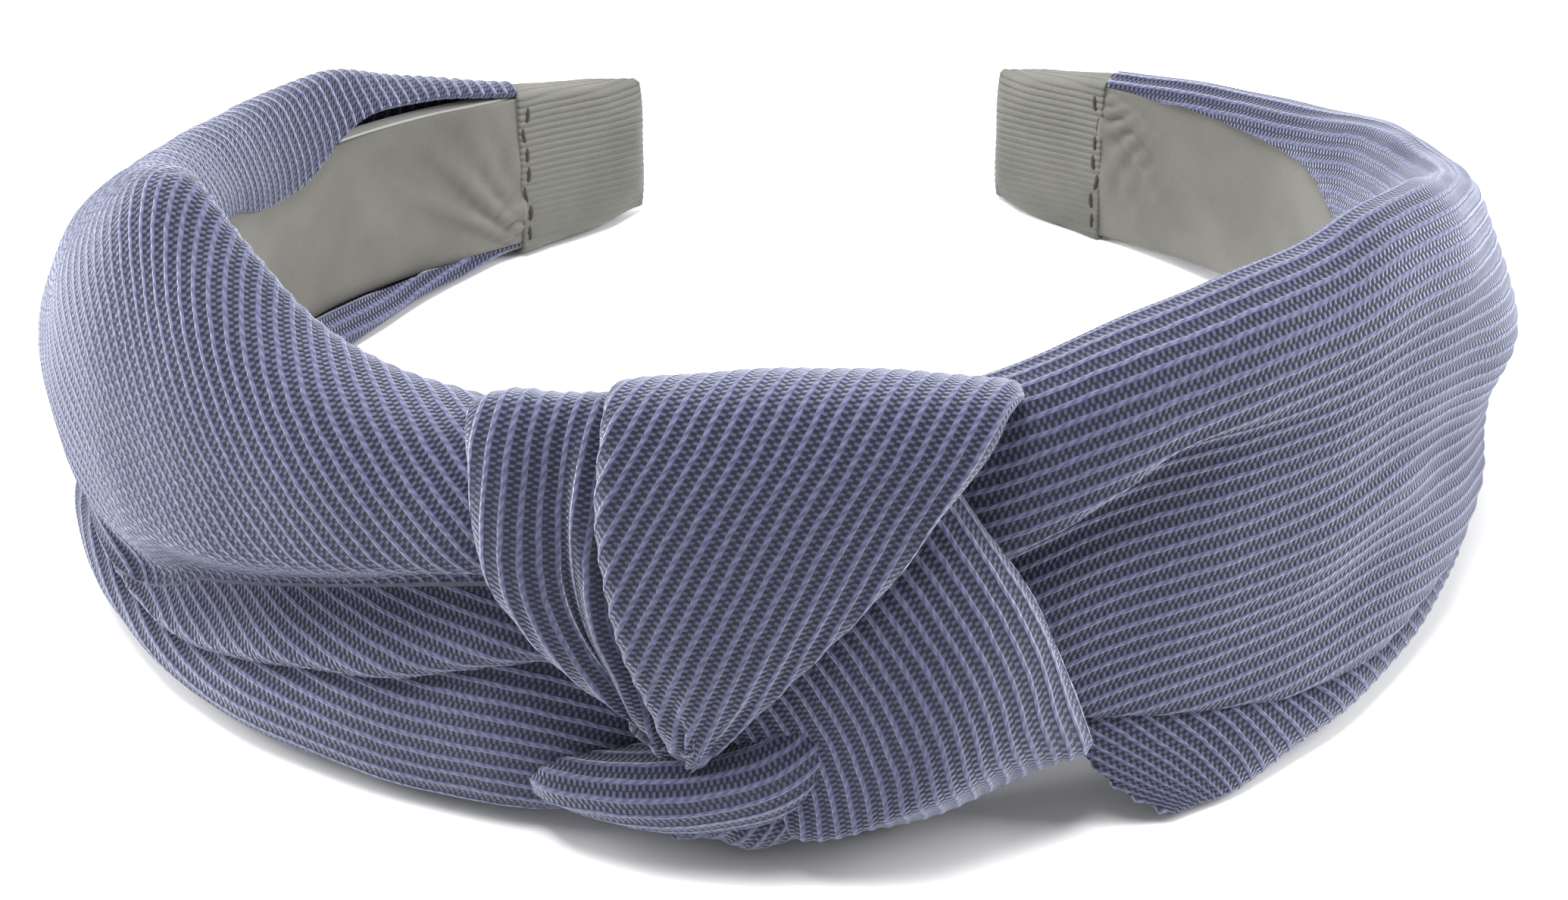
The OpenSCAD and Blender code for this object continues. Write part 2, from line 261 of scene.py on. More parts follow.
@dataclass
class Sheet:
    """A sheet of ribbed cloth, lofted through rows of points.

    Rows run across the sheet; the first axis follows it along. Points are upright millimetres once
    placed, and each keeps the place on the weave that the ribs are drawn from.
    """

    name: str
    rows: np.ndarray
    knots: np.ndarray
    side: Side | None = None
    middle: int = 0
    grain: Grain = Grain.ALONG
    turn: float = 0.0
    twist_at: float = 57.0
    pleat_at: float = 40.0
    pocket_fade: tuple[float, float] = (50.0, 24.0)
    rib: float = RIB_PITCH
    relief: float = 0.16
    fine: tuple[float, float] = (0.9, 0.4)
    thick: float = 0.8
    ripple: float = 0.12

    def across(self) -> tuple[np.ndarray, np.ndarray]:
        """Places the samples across the sheet.

        Returns:
            The knots, shared by all its rows, and the samples between them.
        """
        chord = np.linalg.norm(np.diff(self.rows, axis=1), axis=-1)
        knots = np.concatenate([[0.0], np.cumsum(np.sqrt(chord.mean(axis=0) + 0.05))])
        counts = np.ceil(chord.max(axis=0) / self.fine[1]).astype(int)
        parts = [np.linspace(a, b, n, endpoint=False)
                 for a, b, n in zip(knots[:-1], knots[1:], np.maximum(counts, 2))]
        return knots, np.concatenate(parts + [knots[-1:]])

    def along(self) -> np.ndarray:
        """Places the samples along the sheet.

        Returns:
            The samples, from the first row to the last.
        """
        chord = np.linalg.norm(np.diff(self.rows, axis=0), axis=-1).max(axis=1)
        counts = np.maximum(np.ceil(chord * CURVE_SLACK / self.fine[0]).astype(int), 2)
        parts = [np.linspace(a, b, n, endpoint=False)
                 for a, b, n in zip(self.knots[:-1], self.knots[1:], counts)]
        return np.concatenate(parts + [self.knots[-1:]])

    def surface(self) -> tuple[np.ndarray, np.ndarray]:
        """Lofts the sheet.

        Returns:
            The grid of upright points in millimetres, and each one's place on the weave.
        """
        knots, samples = self.across()
        fine = through(self.knots, self.rows, self.along())
        fine = np.swapaxes(through(knots, np.swapaxes(fine, 0, 1), samples), 0, 1)
        flat = fine
        if self.side is not None:
            fine = HOOP.beside(self.side, fine[..., 0], fine[..., 1], fine[..., 2])
        column = int(np.searchsorted(samples, knots[self.middle]))
        b = lengths(fine, 1)
        b = b - b[:, column:column + 1]
        a = np.repeat(lengths(fine, 0)[:, column:column + 1], fine.shape[1], axis=1)
        place = self.weave(a, b, flat)
        cord = (0.5 + 0.5 * np.cos(2 * math.pi * place[..., 1] / self.rib)) ** CORD_SHARPNESS
        proud = self.ripples(a, b) + cord * self.relief
        fine = fine + normals(fine) * proud[..., None] * self.facing(fine)
        return fine, place

    def ripples(self, a: np.ndarray, b: np.ndarray) -> np.ndarray:
        """Height of the slow, uneven waves in the cloth.

        Args:
            a: distance along the sheet's middle line.
            b: distance across it.

        Returns:
            The height at each point.
        """
        first = np.sin(a / 3.7 + b / 2.9)
        second = np.sin(a / 5.3 - b / 4.1 + 1.7)
        return (first * second) * self.ripple

    def facing(self, points: np.ndarray) -> float:
        """Finds which way the grid's normals point.

        Args:
            points: the grid of upright points.

        Returns:
            1 if they point to the cloth's outer side, otherwise -1.
        """
        mid = points[points.shape[0] // 2, points.shape[1] // 2]
        n = normals(points)[points.shape[0] // 2, points.shape[1] // 2]
        return 1.0 if float(n[:2] @ mid[:2]) > 0 else -1.0

    def weave(self, a: np.ndarray, b: np.ndarray, flat: np.ndarray) -> np.ndarray:
        """Place on the weave: distance along the ribs and across them.

        Args:
            a: distance along the sheet's middle line.
            b: distance across it.
            flat: the loft's own points, before they are placed.

        Returns:
            The two distances in the last axis.
        """
        if self.grain is Grain.ALONG:
            return np.stack([a, b], axis=-1)
        c, s = math.cos(self.turn), math.sin(self.turn)
        if self.grain is Grain.TURNED:
            return np.stack([a * c + b * s, b * c - a * s], axis=-1)
        return self.fan(a, b, flat)

    def fan(self, a: np.ndarray, b: np.ndarray, flat: np.ndarray) -> np.ndarray:
        """Ribs that run down the sheet's far part and swing round one twist at its top.

        Args:
            a: distance along the sheet's middle line.
            b: distance across it.
            flat: the loft's own points: distance from the crown, out and height.

        Returns:
            The two distances in the last axis.
        """
        row = int(np.argmin(np.abs(flat[:, 0, 0] - self.twist_at)))
        top = int(np.argmax(flat[row, :, 2]))
        x = a - a[row, top]
        y = b - b[:, top:top + 1]
        c, s = math.cos(self.turn), math.sin(self.turn)
        angle = np.arctan2(y, x)
        swing = math.pi / 2 - self.turn
        r = np.hypot(x, y)
        plain = np.stack([y * s - x * c, x * s + y * c], axis=-1)
        swung = np.stack([r * (angle - swing), r], axis=-1)
        down = np.stack([y - x * swing, x], axis=-1)
        turned = np.where(((angle > swing) | (x < 0))[..., None], plain, swung)
        hung = np.where(((angle < 0) & (x > 0))[..., None], down, turned)
        return np.where(self.pocket(b, flat)[..., None], np.stack([x, y], axis=-1), hung)

    def pocket(self, b: np.ndarray, flat: np.ndarray) -> np.ndarray:
        """Finds the cloth under the pleat, where the ribs run along the sheet.

        Args:
            b: distance across the sheet.
            flat: the loft's own points.

        Returns:
            True for each point in the pocket, which narrows to nothing past the pleat.
        """
        row = flat[int(np.argmin(np.abs(flat[:, 0, 0] - self.pleat_at)))]
        crease = int(np.argmin(np.where(row[:, 2] < 0, row[:, 1], np.inf)))
        fade_from, fade_over = self.pocket_fade
        fade = np.clip((flat[:, :1, 0] - fade_from) / fade_over, 0.0, 1.0)
        start = b[:, crease:crease + 1]
        return b > start + (b[:, -1:] - start) * fade

    def build(self) -> bpy.types.Object:
        """Makes the sheet's mesh, with its weave map and its thickness.

        Returns:
            The new object, at the origin.
        """
        points, place = self.surface()
        rows, columns = points.shape[:2]
        bm = bmesh.new()
        bmesh.ops.create_grid(bm, x_segments=columns - 1, y_segments=rows - 1, size=0.5)
        mesh = bpy.data.meshes.new(self.name)
        bm.to_mesh(mesh)
        bm.free()
        co = np.empty(len(mesh.vertices) * 3)
        mesh.vertices.foreach_get("co", co)
        co = co.reshape(-1, 3)
        j = np.rint((co[:, 0] + 0.5) * (columns - 1)).astype(int)
        i = np.rint((co[:, 1] + 0.5) * (rows - 1)).astype(int)
        mesh.vertices.foreach_set("co", HOOP.lay(points)[i, j].astype(np.float32).ravel())
        corner = np.empty(len(mesh.loops), np.int32)
        mesh.loops.foreach_get("vertex_index", corner)
        uv = mesh.uv_layers.new(name=WEAVE_MAP)
        uv.data.foreach_set("uv", place[i[corner], j[corner]].astype(np.float32).ravel())
        mesh.polygons.foreach_set("use_smooth", [True] * len(mesh.polygons))
        mesh.update()
        self.face_out(mesh, points)
        obj = add_object(self.name, mesh)
        wall = obj.modifiers.new("Cloth thickness", "SOLIDIFY")
        wall.thickness = self.thick * MM
        wall.offset = -1.0
        log.info("%s: %d faces", self.name, len(mesh.polygons))
        return obj

    def face_out(self, mesh: bpy.types.Mesh, points: np.ndarray) -> None:
        """Turns the faces round if they look inwards.

        Args:
            mesh: the sheet's mesh.
            points: its grid of upright points.
        """
        rows, columns = points.shape[:2]
        n = normals(points) * self.facing(points)
        wanted = HOOP.lay(points + n) - HOOP.lay(points)
        middle = (rows // 2) * (columns - 1) + columns // 2
        face = mesh.polygons[middle]
        if Vector(wanted[rows // 2, columns // 2]).dot(face.normal) < 0:
            mesh.flip_normals()


def stations(table: Sequence[tuple[float, Sequence[tuple[float, float]]]]) -> tuple[np.ndarray, np.ndarray]:
    """Rows of a sheet beside the strip, each across it at one distance from the crown.

    Args:
        table: for each row its distance from the crown, and its points as out and height.

    Returns:
        The rows as distance, out and height, and the distances.
    """
    rows = np.array([[(s, out, z) for out, z in points] for s, points in table], float)
    return rows, np.array([s for s, _ in table], float)


# ---------------------------------------------------------------- finishes


class Wires:
    """Adds nodes to a tree and joins them."""

    def __init__(self, tree: bpy.types.NodeTree) -> None:
        """Keeps the tree that the nodes go into."""
        self.tree = tree

    def node(self, kind: str, **values: object) -> bpy.types.Node:
        """Adds a node.

        Args:
            kind: the node's type.
            values: properties to set on it.

        Returns:
            The node.
        """
        made = self.tree.nodes.new(kind)
        for key, value in values.items():
            setattr(made, key, value)
        return made

    def put(self, socket: bpy.types.NodeSocket, value: object) -> None:
        """Sets a socket to a value, or joins another socket to it.

        Args:
            socket: the socket.
            value: the value, or the other socket.
        """
        if isinstance(value, bpy.types.NodeSocket):
            self.tree.links.new(value, socket)
        else:
            socket.default_value = value

    def math(self, operation: str, *values: object, clamp: bool = False) -> bpy.types.NodeSocket:
        """Adds a Math node.

        Args:
            operation: what it works out.
            values: its inputs, as numbers or sockets.
            clamp: keeps the result between 0 and 1.

        Returns:
            Its output.
        """
        made = self.node("ShaderNodeMath", operation=operation, use_clamp=clamp)
        for k, value in enumerate(values):
            self.put(made.inputs[k], value)
        return made.outputs[0]

    def step(self, value: object, low: float, high: float) -> bpy.types.NodeSocket:
        """Adds a smooth step from 0 to 1.

        Args:
            value: what is stepped.
            low: where the step starts.
            high: where it ends.

        Returns:
            Its output.
        """
        made = self.node("ShaderNodeMapRange", interpolation_type="SMOOTHSTEP")
        self.put(made.inputs["Value"], value)
        made.inputs["From Min"].default_value = low
        made.inputs["From Max"].default_value = high
        return made.outputs["Result"]

    def mix(self, share: object, a: object, b: object, blend: str = "MIX") -> bpy.types.NodeSocket:
        """Mixes two colours.

        Args:
            share: how much of the second.
            a: the first colour.
            b: the second colour.
            blend: the way they mix.

        Returns:
            The mixed colour.
        """
        made = self.node("ShaderNodeMix", data_type="RGBA", blend_type=blend)
        self.put(made.inputs["Factor"], share)
        for key, value in (("A", a), ("B", b)):
            self.put(next(i for i in made.inputs if i.name == key and i.type == "RGBA"), value)
        return next(o for o in made.outputs if o.type == "RGBA")

    def noise(self, place: object, scale: object, detail: float = 2.0) -> bpy.types.NodeSocket:
        """Adds a Noise node.

        Args:
            place: where it is read.
            scale: how fine it is, as a number or a socket.
            detail: how many finer layers it has.

        Returns:
            Its grey value.
        """
        made = self.node("ShaderNodeTexNoise")
        self.put(made.inputs["Vector"], place)
        self.put(made.inputs["Scale"], scale)
        made.inputs["Detail"].default_value = detail
        return made.outputs["Fac"]


def linear(red: int, green: int, blue: int) -> tuple[float, float, float, float]:
    """Turns a screen colour into the linear colour that a shader takes.

    Args:
        red: its red, from 0 to 255.
        green: its green.
        blue: its blue.

    Returns:
        The linear colour, opaque.
    """

    def one(v: int) -> float:
        """Turns one channel."""
        c = v / 255
        return c / 12.92 if c <= 0.04045 else ((c + 0.055) / 1.055) ** 2.4

    return one(red), one(green), one(blue), 1.0


def new_group(name: str, inputs: Sequence[tuple[str, str]], outputs: Sequence[tuple[str, str]],
              ) -> tuple[bpy.types.NodeTree, Wires, bpy.types.Node, bpy.types.Node]:
    """Starts a shader node group.

    Args:
        name: the group's name.
        inputs: the name and type of each input.
        outputs: the name and type of each output.

    Returns:
        The group, its wires, and its input and output nodes.
    """
    tree = bpy.data.node_groups.new(name, "ShaderNodeTree")
    for label, kind in inputs:
        tree.interface.new_socket(label, in_out="INPUT", socket_type=kind)
    for label, kind in outputs:
        tree.interface.new_socket(label, in_out="OUTPUT", socket_type=kind)
    wires = Wires(tree)
    return tree, wires, wires.node("NodeGroupInput"), wires.node("NodeGroupOutput")


def rib_weave() -> bpy.types.NodeTree:
    """The cloth's weave: a raised twisted cord on each rib, and rows of short floats between.

    Returns:
        The node group. It puts out the weave's colour, its height and a roughness.
    """
    tree, w, given, out = new_group(
        "Rib weave",
        [("Place", "NodeSocketVector"), ("Spot", "NodeSocketVector"), ("Pitch", "NodeSocketFloat"),
         ("Stitch", "NodeSocketFloat"), ("Cord", "NodeSocketColor"), ("Ground", "NodeSocketColor"),
         ("Gap", "NodeSocketColor")],
        [("Color", "NodeSocketColor"), ("Height", "NodeSocketFloat"), ("Roughness", "NodeSocketFloat")])
    split = w.node("ShaderNodeSeparateXYZ")
    w.put(split.inputs[0], given.outputs["Place"])
    along, across = split.outputs[0], split.outputs[1]
    drift = w.math("MULTIPLY", w.math("SUBTRACT", w.noise(given.outputs["Spot"], 420.0), 0.5), 0.35)
    rib = w.math("FRACT", w.math("DIVIDE", w.math("ADD", across, drift), given.outputs["Pitch"]))
    centred = w.math("ABSOLUTE", w.math("SUBTRACT", rib, 0.5))
    far = w.math("MULTIPLY", centred, 2.0)
    cord = w.step(far, 0.6, 0.84)
    half = w.math("GREATER_THAN", rib, 0.5)
    steps = w.math("DIVIDE", w.math("ADD", along, drift), given.outputs["Stitch"])
    beat = w.math("ADD", steps, w.math("MULTIPLY", half, 0.5))
    wave = w.math("SINE", w.math("MULTIPLY", beat, 2 * math.pi))
    open_ground = w.math("MULTIPLY", w.math("SUBTRACT", 1.0, cord), w.step(far, 0.02, 0.16))
    gap = w.math("MULTIPLY", w.step(wave, -0.1, 0.7), open_ground)
    seed = w.math("MULTIPLY", w.step(wave, 0.1, -0.9), open_ground)
    ply_lean, ply_pitch = 1.9, 1.15
    lean_of = w.math("MULTIPLY", w.math("SUBTRACT", rib, w.math("ROUND", rib)), ply_lean)
    turns = w.math("ADD", w.math("DIVIDE", along, ply_pitch), lean_of)
    ply = w.math("SINE", w.math("MULTIPLY", turns, 2 * math.pi))
    twist = w.math("MULTIPLY", w.math("MULTIPLY_ADD", ply, 0.5, 0.5), cord)
    patch = w.noise(given.outputs["Spot"], 55.0, 3.0)
    fuzz = w.noise(given.outputs["Spot"], 5200.0, 1.0)
    color = w.mix(w.math("MULTIPLY", gap, 0.7), given.outputs["Ground"], given.outputs["Gap"])
    color = w.mix(w.math("MULTIPLY", seed, 0.45), color, given.outputs["Cord"])
    color = w.mix(cord, color, given.outputs["Cord"])
    color = w.mix(w.math("MULTIPLY", w.math("SUBTRACT", 1.0, twist), w.math("MULTIPLY", cord, 0.55)),
                  color, given.outputs["Ground"])
    shade = w.math("ADD", w.math("MULTIPLY", patch, 0.22), w.math("MULTIPLY", fuzz, 0.5))
    bright = w.math("ADD", shade, 0.64)
    grey = w.node("ShaderNodeCombineColor")
    for socket in grey.inputs:
        w.put(socket, bright)
    color = w.mix(1.0, color, grey.outputs[0], "MULTIPLY")
    height = w.math("ADD", w.math("MULTIPLY", cord, w.math("MULTIPLY_ADD", twist, 0.3, 0.7)),
                    w.math("MULTIPLY", seed, 0.3))
    height = w.math("SUBTRACT", height, w.math("MULTIPLY", gap, 0.25))
    height = w.math("ADD", height, w.math("MULTIPLY", fuzz, 0.15))
    w.put(out.inputs["Color"], color)
    w.put(out.inputs["Height"], height)
    w.put(out.inputs["Roughness"], w.math("SUBTRACT", 0.95, w.math("MULTIPLY", cord, 0.17)))
    return tree


def soft_grain() -> bpy.types.NodeTree:
    """Fine grain for plain cloth, tape, thread and plastic: a speckle, soft patches and faint ribs.

    Returns:
        The node group. It puts out a colour, a height and a roughness.
    """
    tree, w, given, out = new_group(
        "Soft grain",
        [("Spot", "NodeSocketVector"), ("Place", "NodeSocketVector"), ("Color", "NodeSocketColor"),
         ("Shade", "NodeSocketColor"), ("Patches", "NodeSocketFloat"), ("Grain", "NodeSocketFloat"),
         ("Rib", "NodeSocketFloat"), ("Pitch", "NodeSocketFloat"), ("Rough", "NodeSocketFloat")],
        [("Color", "NodeSocketColor"), ("Height", "NodeSocketFloat"), ("Roughness", "NodeSocketFloat")])
    split = w.node("ShaderNodeSeparateXYZ")
    w.put(split.inputs[0], given.outputs["Place"])
    # Soft patches toward the Shade colour, at random places: on the lining they are painted shade standing
    # in for its wrinkles, on the other finishes a random tone.
    patch = w.step(w.noise(given.outputs["Spot"], given.outputs["Patches"], 3.0), 0.3, 0.7)
    grain = w.noise(given.outputs["Spot"], given.outputs["Grain"])
    turn = w.math("MULTIPLY", w.math("DIVIDE", split.outputs[1], given.outputs["Pitch"]), 2 * math.pi)
    rib = w.math("MULTIPLY", w.math("MULTIPLY_ADD", w.math("SINE", turn), 0.5, 0.5), given.outputs["Rib"])
    mark = w.math("ADD", w.math("MULTIPLY", patch, 0.45), w.math("MULTIPLY", grain, 0.4))
    color = w.mix(w.math("SUBTRACT", mark, w.math("MULTIPLY", rib, 0.35), clamp=True),
                  given.outputs["Color"], given.outputs["Shade"])
    height = w.math("ADD", w.math("MULTIPLY", grain, 0.35), rib)
    w.put(out.inputs["Color"], color)
    w.put(out.inputs["Height"], height)
    w.put(out.inputs["Roughness"], w.math("MULTIPLY_ADD", grain, 0.12, given.outputs["Rough"]))
    return tree


def start_material(name: str) -> tuple[bpy.types.Material, Wires, bpy.types.Node]:
    """Starts a material.

    Args:
        name: the material's name.

    Returns:
        The material, its wires and its Principled shader.
    """
    made = bpy.data.materials.new(name)
    made.use_nodes = True
    return made, Wires(made.node_tree), made.node_tree.nodes["Principled BSDF"]


def dress(w: Wires, shader: bpy.types.Node, group: bpy.types.Node, depth: float) -> None:
    """Joins a finish group to the shader: colour, roughness and bump.

    Args:
        w: the material's wires.
        shader: its shader.
        group: the finish group.
        depth: how deep the bump is.
    """
    w.put(shader.inputs["Base Color"], group.outputs["Color"])
    w.put(shader.inputs["Roughness"], group.outputs["Roughness"])
    bump = w.node("ShaderNodeBump")
    bump.inputs["Strength"].default_value = 1.0
    bump.inputs["Distance"].default_value = depth * MM
    w.put(bump.inputs["Height"], group.outputs["Height"])
    w.put(shader.inputs["Normal"], bump.outputs["Normal"])


@dataclass(frozen=True)
class RibbedCloth:
    """The blue cloth of the band and the knot."""

    name: str = "ribbed_fabric"
    pitch: float = RIB_PITCH
    stitch: float = 0.62
    cord: tuple[int, int, int] = (86, 89, 119)
    ground: tuple[int, int, int] = (27, 28, 45)
    gap: tuple[int, int, int] = (12, 12, 26)
    depth: float = 0.16
    sheen: float = 0.8

    def make(self, weave: bpy.types.NodeTree) -> bpy.types.Material:
        """Makes the material.

        Args:
            weave: the weave's node group.

        Returns:
            The material.
        """
        made, w, shader = start_material(self.name)
        uv = w.node("ShaderNodeUVMap", uv_map=WEAVE_MAP)
        spot = w.node("ShaderNodeTexCoord")
        group = w.node("ShaderNodeGroup", node_tree=weave)
        w.put(group.inputs["Place"], uv.outputs["UV"])
        w.put(group.inputs["Spot"], spot.outputs["Object"])
        group.inputs["Pitch"].default_value = self.pitch
        group.inputs["Stitch"].default_value = self.stitch
        group.inputs["Cord"].default_value = linear(*self.cord)
        group.inputs["Ground"].default_value = linear(*self.ground)
        group.inputs["Gap"].default_value = linear(*self.gap)
        dress(w, shader, group, self.depth)
        shader.inputs["Sheen Weight"].default_value = self.sheen
        shader.inputs["Sheen Roughness"].default_value = 0.45
        shader.inputs["Sheen Tint"].default_value = linear(212, 217, 236)
        shader.inputs["Specular IOR Level"].default_value = 0.25
        return made


@dataclass(frozen=True)
class PlainFinish:
    """A plain finish: lining ribbon, tape, thread or plastic."""

    name: str
    color: tuple[int, int, int]
    shade: tuple[int, int, int]
    patches: float = 90.0
    grain: float = 4200.0
    rib: float = 0.0
    pitch: float = 0.8
    rough: float = 0.75
    depth: float = 0.05
    sheen: float = 0.1
    specular: float = 0.3

    def make(self, grain: bpy.types.NodeTree) -> bpy.types.Material:
        """Makes the material.

        Args:
            grain: the grain's node group.

        Returns:
            The material.
        """
        made, w, shader = start_material(self.name)
        spot = w.node("ShaderNodeTexCoord")
        group = w.node("ShaderNodeGroup", node_tree=grain)
        w.put(group.inputs["Spot"], spot.outputs["Object"])
        if self.rib:
            uv = w.node("ShaderNodeUVMap", uv_map=WEAVE_MAP)
            w.put(group.inputs["Place"], uv.outputs["UV"])
        for key, value in (("Patches", self.patches), ("Grain", self.grain), ("Rib", self.rib),
                           ("Pitch", self.pitch), ("Rough", self.rough)):
            group.inputs[key].default_value = value
        group.inputs["Color"].default_value = linear(*self.color)
        group.inputs["Shade"].default_value = linear(*self.shade)
        dress(w, shader, group, self.depth)
        shader.inputs["Sheen Weight"].default_value = self.sheen
        shader.inputs["Specular IOR Level"].default_value = self.specular
        return made


class Slot(Enum):
    """The record's material slots, and the finish of each."""

    CLOTH = "ribbed_fabric"
    LINING = "lining_ribbon"
    TAPE = "grosgrain_tape"
    THREAD = "seam_thread"
    PLASTIC = "core_plastic"


def make_finishes() -> dict[Slot, bpy.types.Material]:
    """Makes every finish.

    Returns:
        The material of each slot.
    """
    weave, grain = rib_weave(), soft_grain()
    plain = {
        # The lining's darker soft patches are painted shade for its wrinkles, scattered at random.
        Slot.LINING: PlainFinish(Slot.LINING.value, (104, 102, 96), (70, 69, 64), patches=70.0,
                                 rough=0.6, sheen=0.15, depth=0.03),
        Slot.TAPE: PlainFinish(Slot.TAPE.value, (102, 101, 96), (74, 74, 69), rib=0.8, depth=0.12),
        Slot.THREAD: PlainFinish(Slot.THREAD.value, (58, 54, 50), (32, 30, 28), rough=0.8),
        Slot.PLASTIC: PlainFinish(Slot.PLASTIC.value, (226, 226, 220), (208, 208, 200), rough=0.35,
                                  depth=0.01, sheen=0.0, specular=0.5),
    }
    made = {slot: finish.make(grain) for slot, finish in plain.items()}
    made[Slot.CLOTH] = RibbedCloth().make(weave)
    return made


# ---------------------------------------------------------------- the band's two sides


def finish_piece(obj: bpy.types.Object, finishes: dict[Slot, bpy.types.Material], slot: Slot) -> None:
    """Gives a piece the material of one slot.

    Args:
        obj: the piece.
        finishes: the materials.
        slot: which of them it takes.
    """
    obj.data.materials.clear()
    obj.data.materials.append(finishes[slot])


@dataclass
class Drape:
    """The cloth along one side of the hoop: an upper drape, and a lower one tucked under it."""

    side: Side
    finishes: dict[Slot, bpy.types.Material]
    bend_from: float = BEND_START
    bend_to: float = 66.0
    bend_out: float = 6.0

    @property
    def arm(self) -> str:
        """The body of this side's arm."""
        return "left_arm" if self.side is Side.LEFT else "right_arm"

    def bend(self, obj: bpy.types.Object) -> None:
        """Bakes a piece's placement into its mesh.

        Args:
            obj: the piece.
        """
        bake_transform(obj)

    def build(self) -> None:
        """Builds both drapes."""
        label = self.side.name.lower()
        nodes = [f"band_{label}_neck", f"band_{label}_side"]
        for sheet in (self.upper(), self.lower()):
            obj = sheet.build()
            finish_piece(obj, self.finishes, Slot.CLOTH)
            self.bend(obj)
            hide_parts(*nodes)

    def upper(self) -> Sheet:
        """The upper drape."""
        raise NotImplementedError

    def lower(self) -> Sheet:
        """The lower drape."""
        raise NotImplementedError


class LeftDrape(Drape):
    """The left side: a broad twisted panel over a lower layer, with one pleat between them."""

    def upper(self) -> Sheet:
        """Points run from the inner hem, over the top, down the panel to the pleat and its ridge.

        Returns:
            The sheet.
        """
        rows, knots = stations([
            (10, [(-1, 8.8), (-.9, 10), (.8, 11.4), (3.6, 12.4), (7, 11.4), (9.4, 8.6), (10.6, 5),
                  (10.4, 2.5), (9, .8), (9.4, -2), (10, -4.6), (9, -6)]),
            (20, [(-1, 8.8), (-.9, 10.2), (.8, 11.6), (4, 12.6), (8.6, 11.8), (11.8, 9.2), (13.6, 5.4),
                  (13.2, 2.2), (10.4, .6), (11.2, -2.5), (12.8, -6), (11.2, -8)]),
            (30, [(-1, 8.8), (-.9, 10.6), (.8, 12.6), (4.6, 14), (9.8, 13), (13.2, 9.8), (14.7, 4.8),
                  (14.2, .6), (10.4, -1.8), (11, -4.6), (13.4, -9.5), (11.6, -11.5)]),
            (40, [(-1, 8.8), (-.9, 11.2), (.8, 13.8), (4.8, 16.8), (10.3, 15.9), (14, 11.8),
                  (15.6, 4.4), (15, -1.6), (10.6, -4.8), (11.2, -7.2), (13.7, -11.5), (12, -13.5)]),
            (50, [(-1, 8.8), (-.9, 12), (.8, 16.6), (4.5, 22.8), (10, 22.2), (14.8, 15.2), (16.5, 5),
                  (15.8, -3.4), (11.6, -7.8), (12.2, -10.3), (14.2, -13.8), (12.4, -16)]),
            (57, [(-1, 8.8), (-.8, 12), (1, 18.5), (4.2, 26.8), (9.2, 27.2), (14.6, 19), (16.8, 7),
                  (16, -4.5), (13, -9.5), (13.4, -11.3), (14.6, -13.2), (12.6, -15.5)]),
            (62, [(-1, 8.8), (-.8, 12), (.8, 18), (3.4, 25.8), (8, 26.2), (14, 19.4), (16.8, 8),
                  (16.4, -3), (14.6, -7.5), (14.8, -9.3), (14.6, -11), (12.8, -13)]),
            (68, [(-1, 8.8), (-.8, 12), (.6, 17), (2.8, 23), (6.8, 23.8), (12.8, 18.2), (16.2, 8),
                  (16.4, 0), (14.8, -4), (14.2, -6.5), (13.6, -9), (11.8, -11)]),
            (76, [(-1, 8.8), (-.9, 12), (.5, 16), (2.2, 20.2), (5.6, 21.2), (11.4, 16.8), (15.6, 8),
                  (16.2, .6), (15, -3), (14.4, -6), (13.6, -9), (11.6, -11)]),
            (84, [(-1.2, 9), (-1, 12), (.3, 15.2), (1.8, 17.8), (5, 18.8), (10, 15), (15, 7.4),
                  (15.6, 0), (14.6, -4), (14, -6.5), (13.2, -9), (11.2, -10.5)]),
            (92, [(-1.3, 9.5), (-1, 12), (.3, 14.8), (1.8, 16.4), (4.8, 17.2), (9.4, 13.6), (14, 6.6),
                  (14.4, -.5), (14, -4), (13.4, -6.5), (12.6, -9), (10.8, -10.4)]),
            (101, [(-1.3, 7), (-1.2, 10), (0, 13.8), (1.8, 15.8), (4.6, 16.2), (8.6, 13.2), (12, 6.3),
                   (12.4, -1), (12, -4), (11.4, -6.5), (10.4, -9), (8.8, -10.2)]),
            (110, [(-1.3, 7), (-1.2, 9.8), (0, 13.2), (1.8, 15.7), (4.6, 16), (8, 13), (10.2, 6),
                   (10.2, -1.5), (9.6, -4.2), (9, -6.6), (8, -8.8), (6.6, -9.8)]),
            (120, [(-1.3, 11.5), (-.9, 12.4), (.2, 14), (1.8, 16), (4.2, 16.1), (6.8, 12.8),
                   (8.2, 5.5), (8, -1.5), (7.6, -4), (7, -6.2), (6.2, -8), (5, -8.9)]),
            (130, [(-1.2, 11.8), (-.6, 12.4), (.4, 13), (1.8, 13.3), (3.6, 13), (5, 10.5), (6, 5),
                   (5.9, -1.5), (5.6, -4), (5.2, -6), (4.7, -7.6), (3.8, -8.3)]),
            (141.5, [(-.8, 10), (-.2, 10.4), (.8, 10.7), (1.8, 10.7), (2.8, 10.3), (3.3, 8.5),
                     (3.5, 4.5), (3.5, -1), (3.4, -3), (3.3, -5), (3.2, -6.6), (2.6, -7.4)]),
        ])
        return Sheet("left_upper_drape", rows, knots, side=self.side, middle=6, grain=Grain.FAN,
                     turn=math.radians(40), fine=(0.64, 0.47))

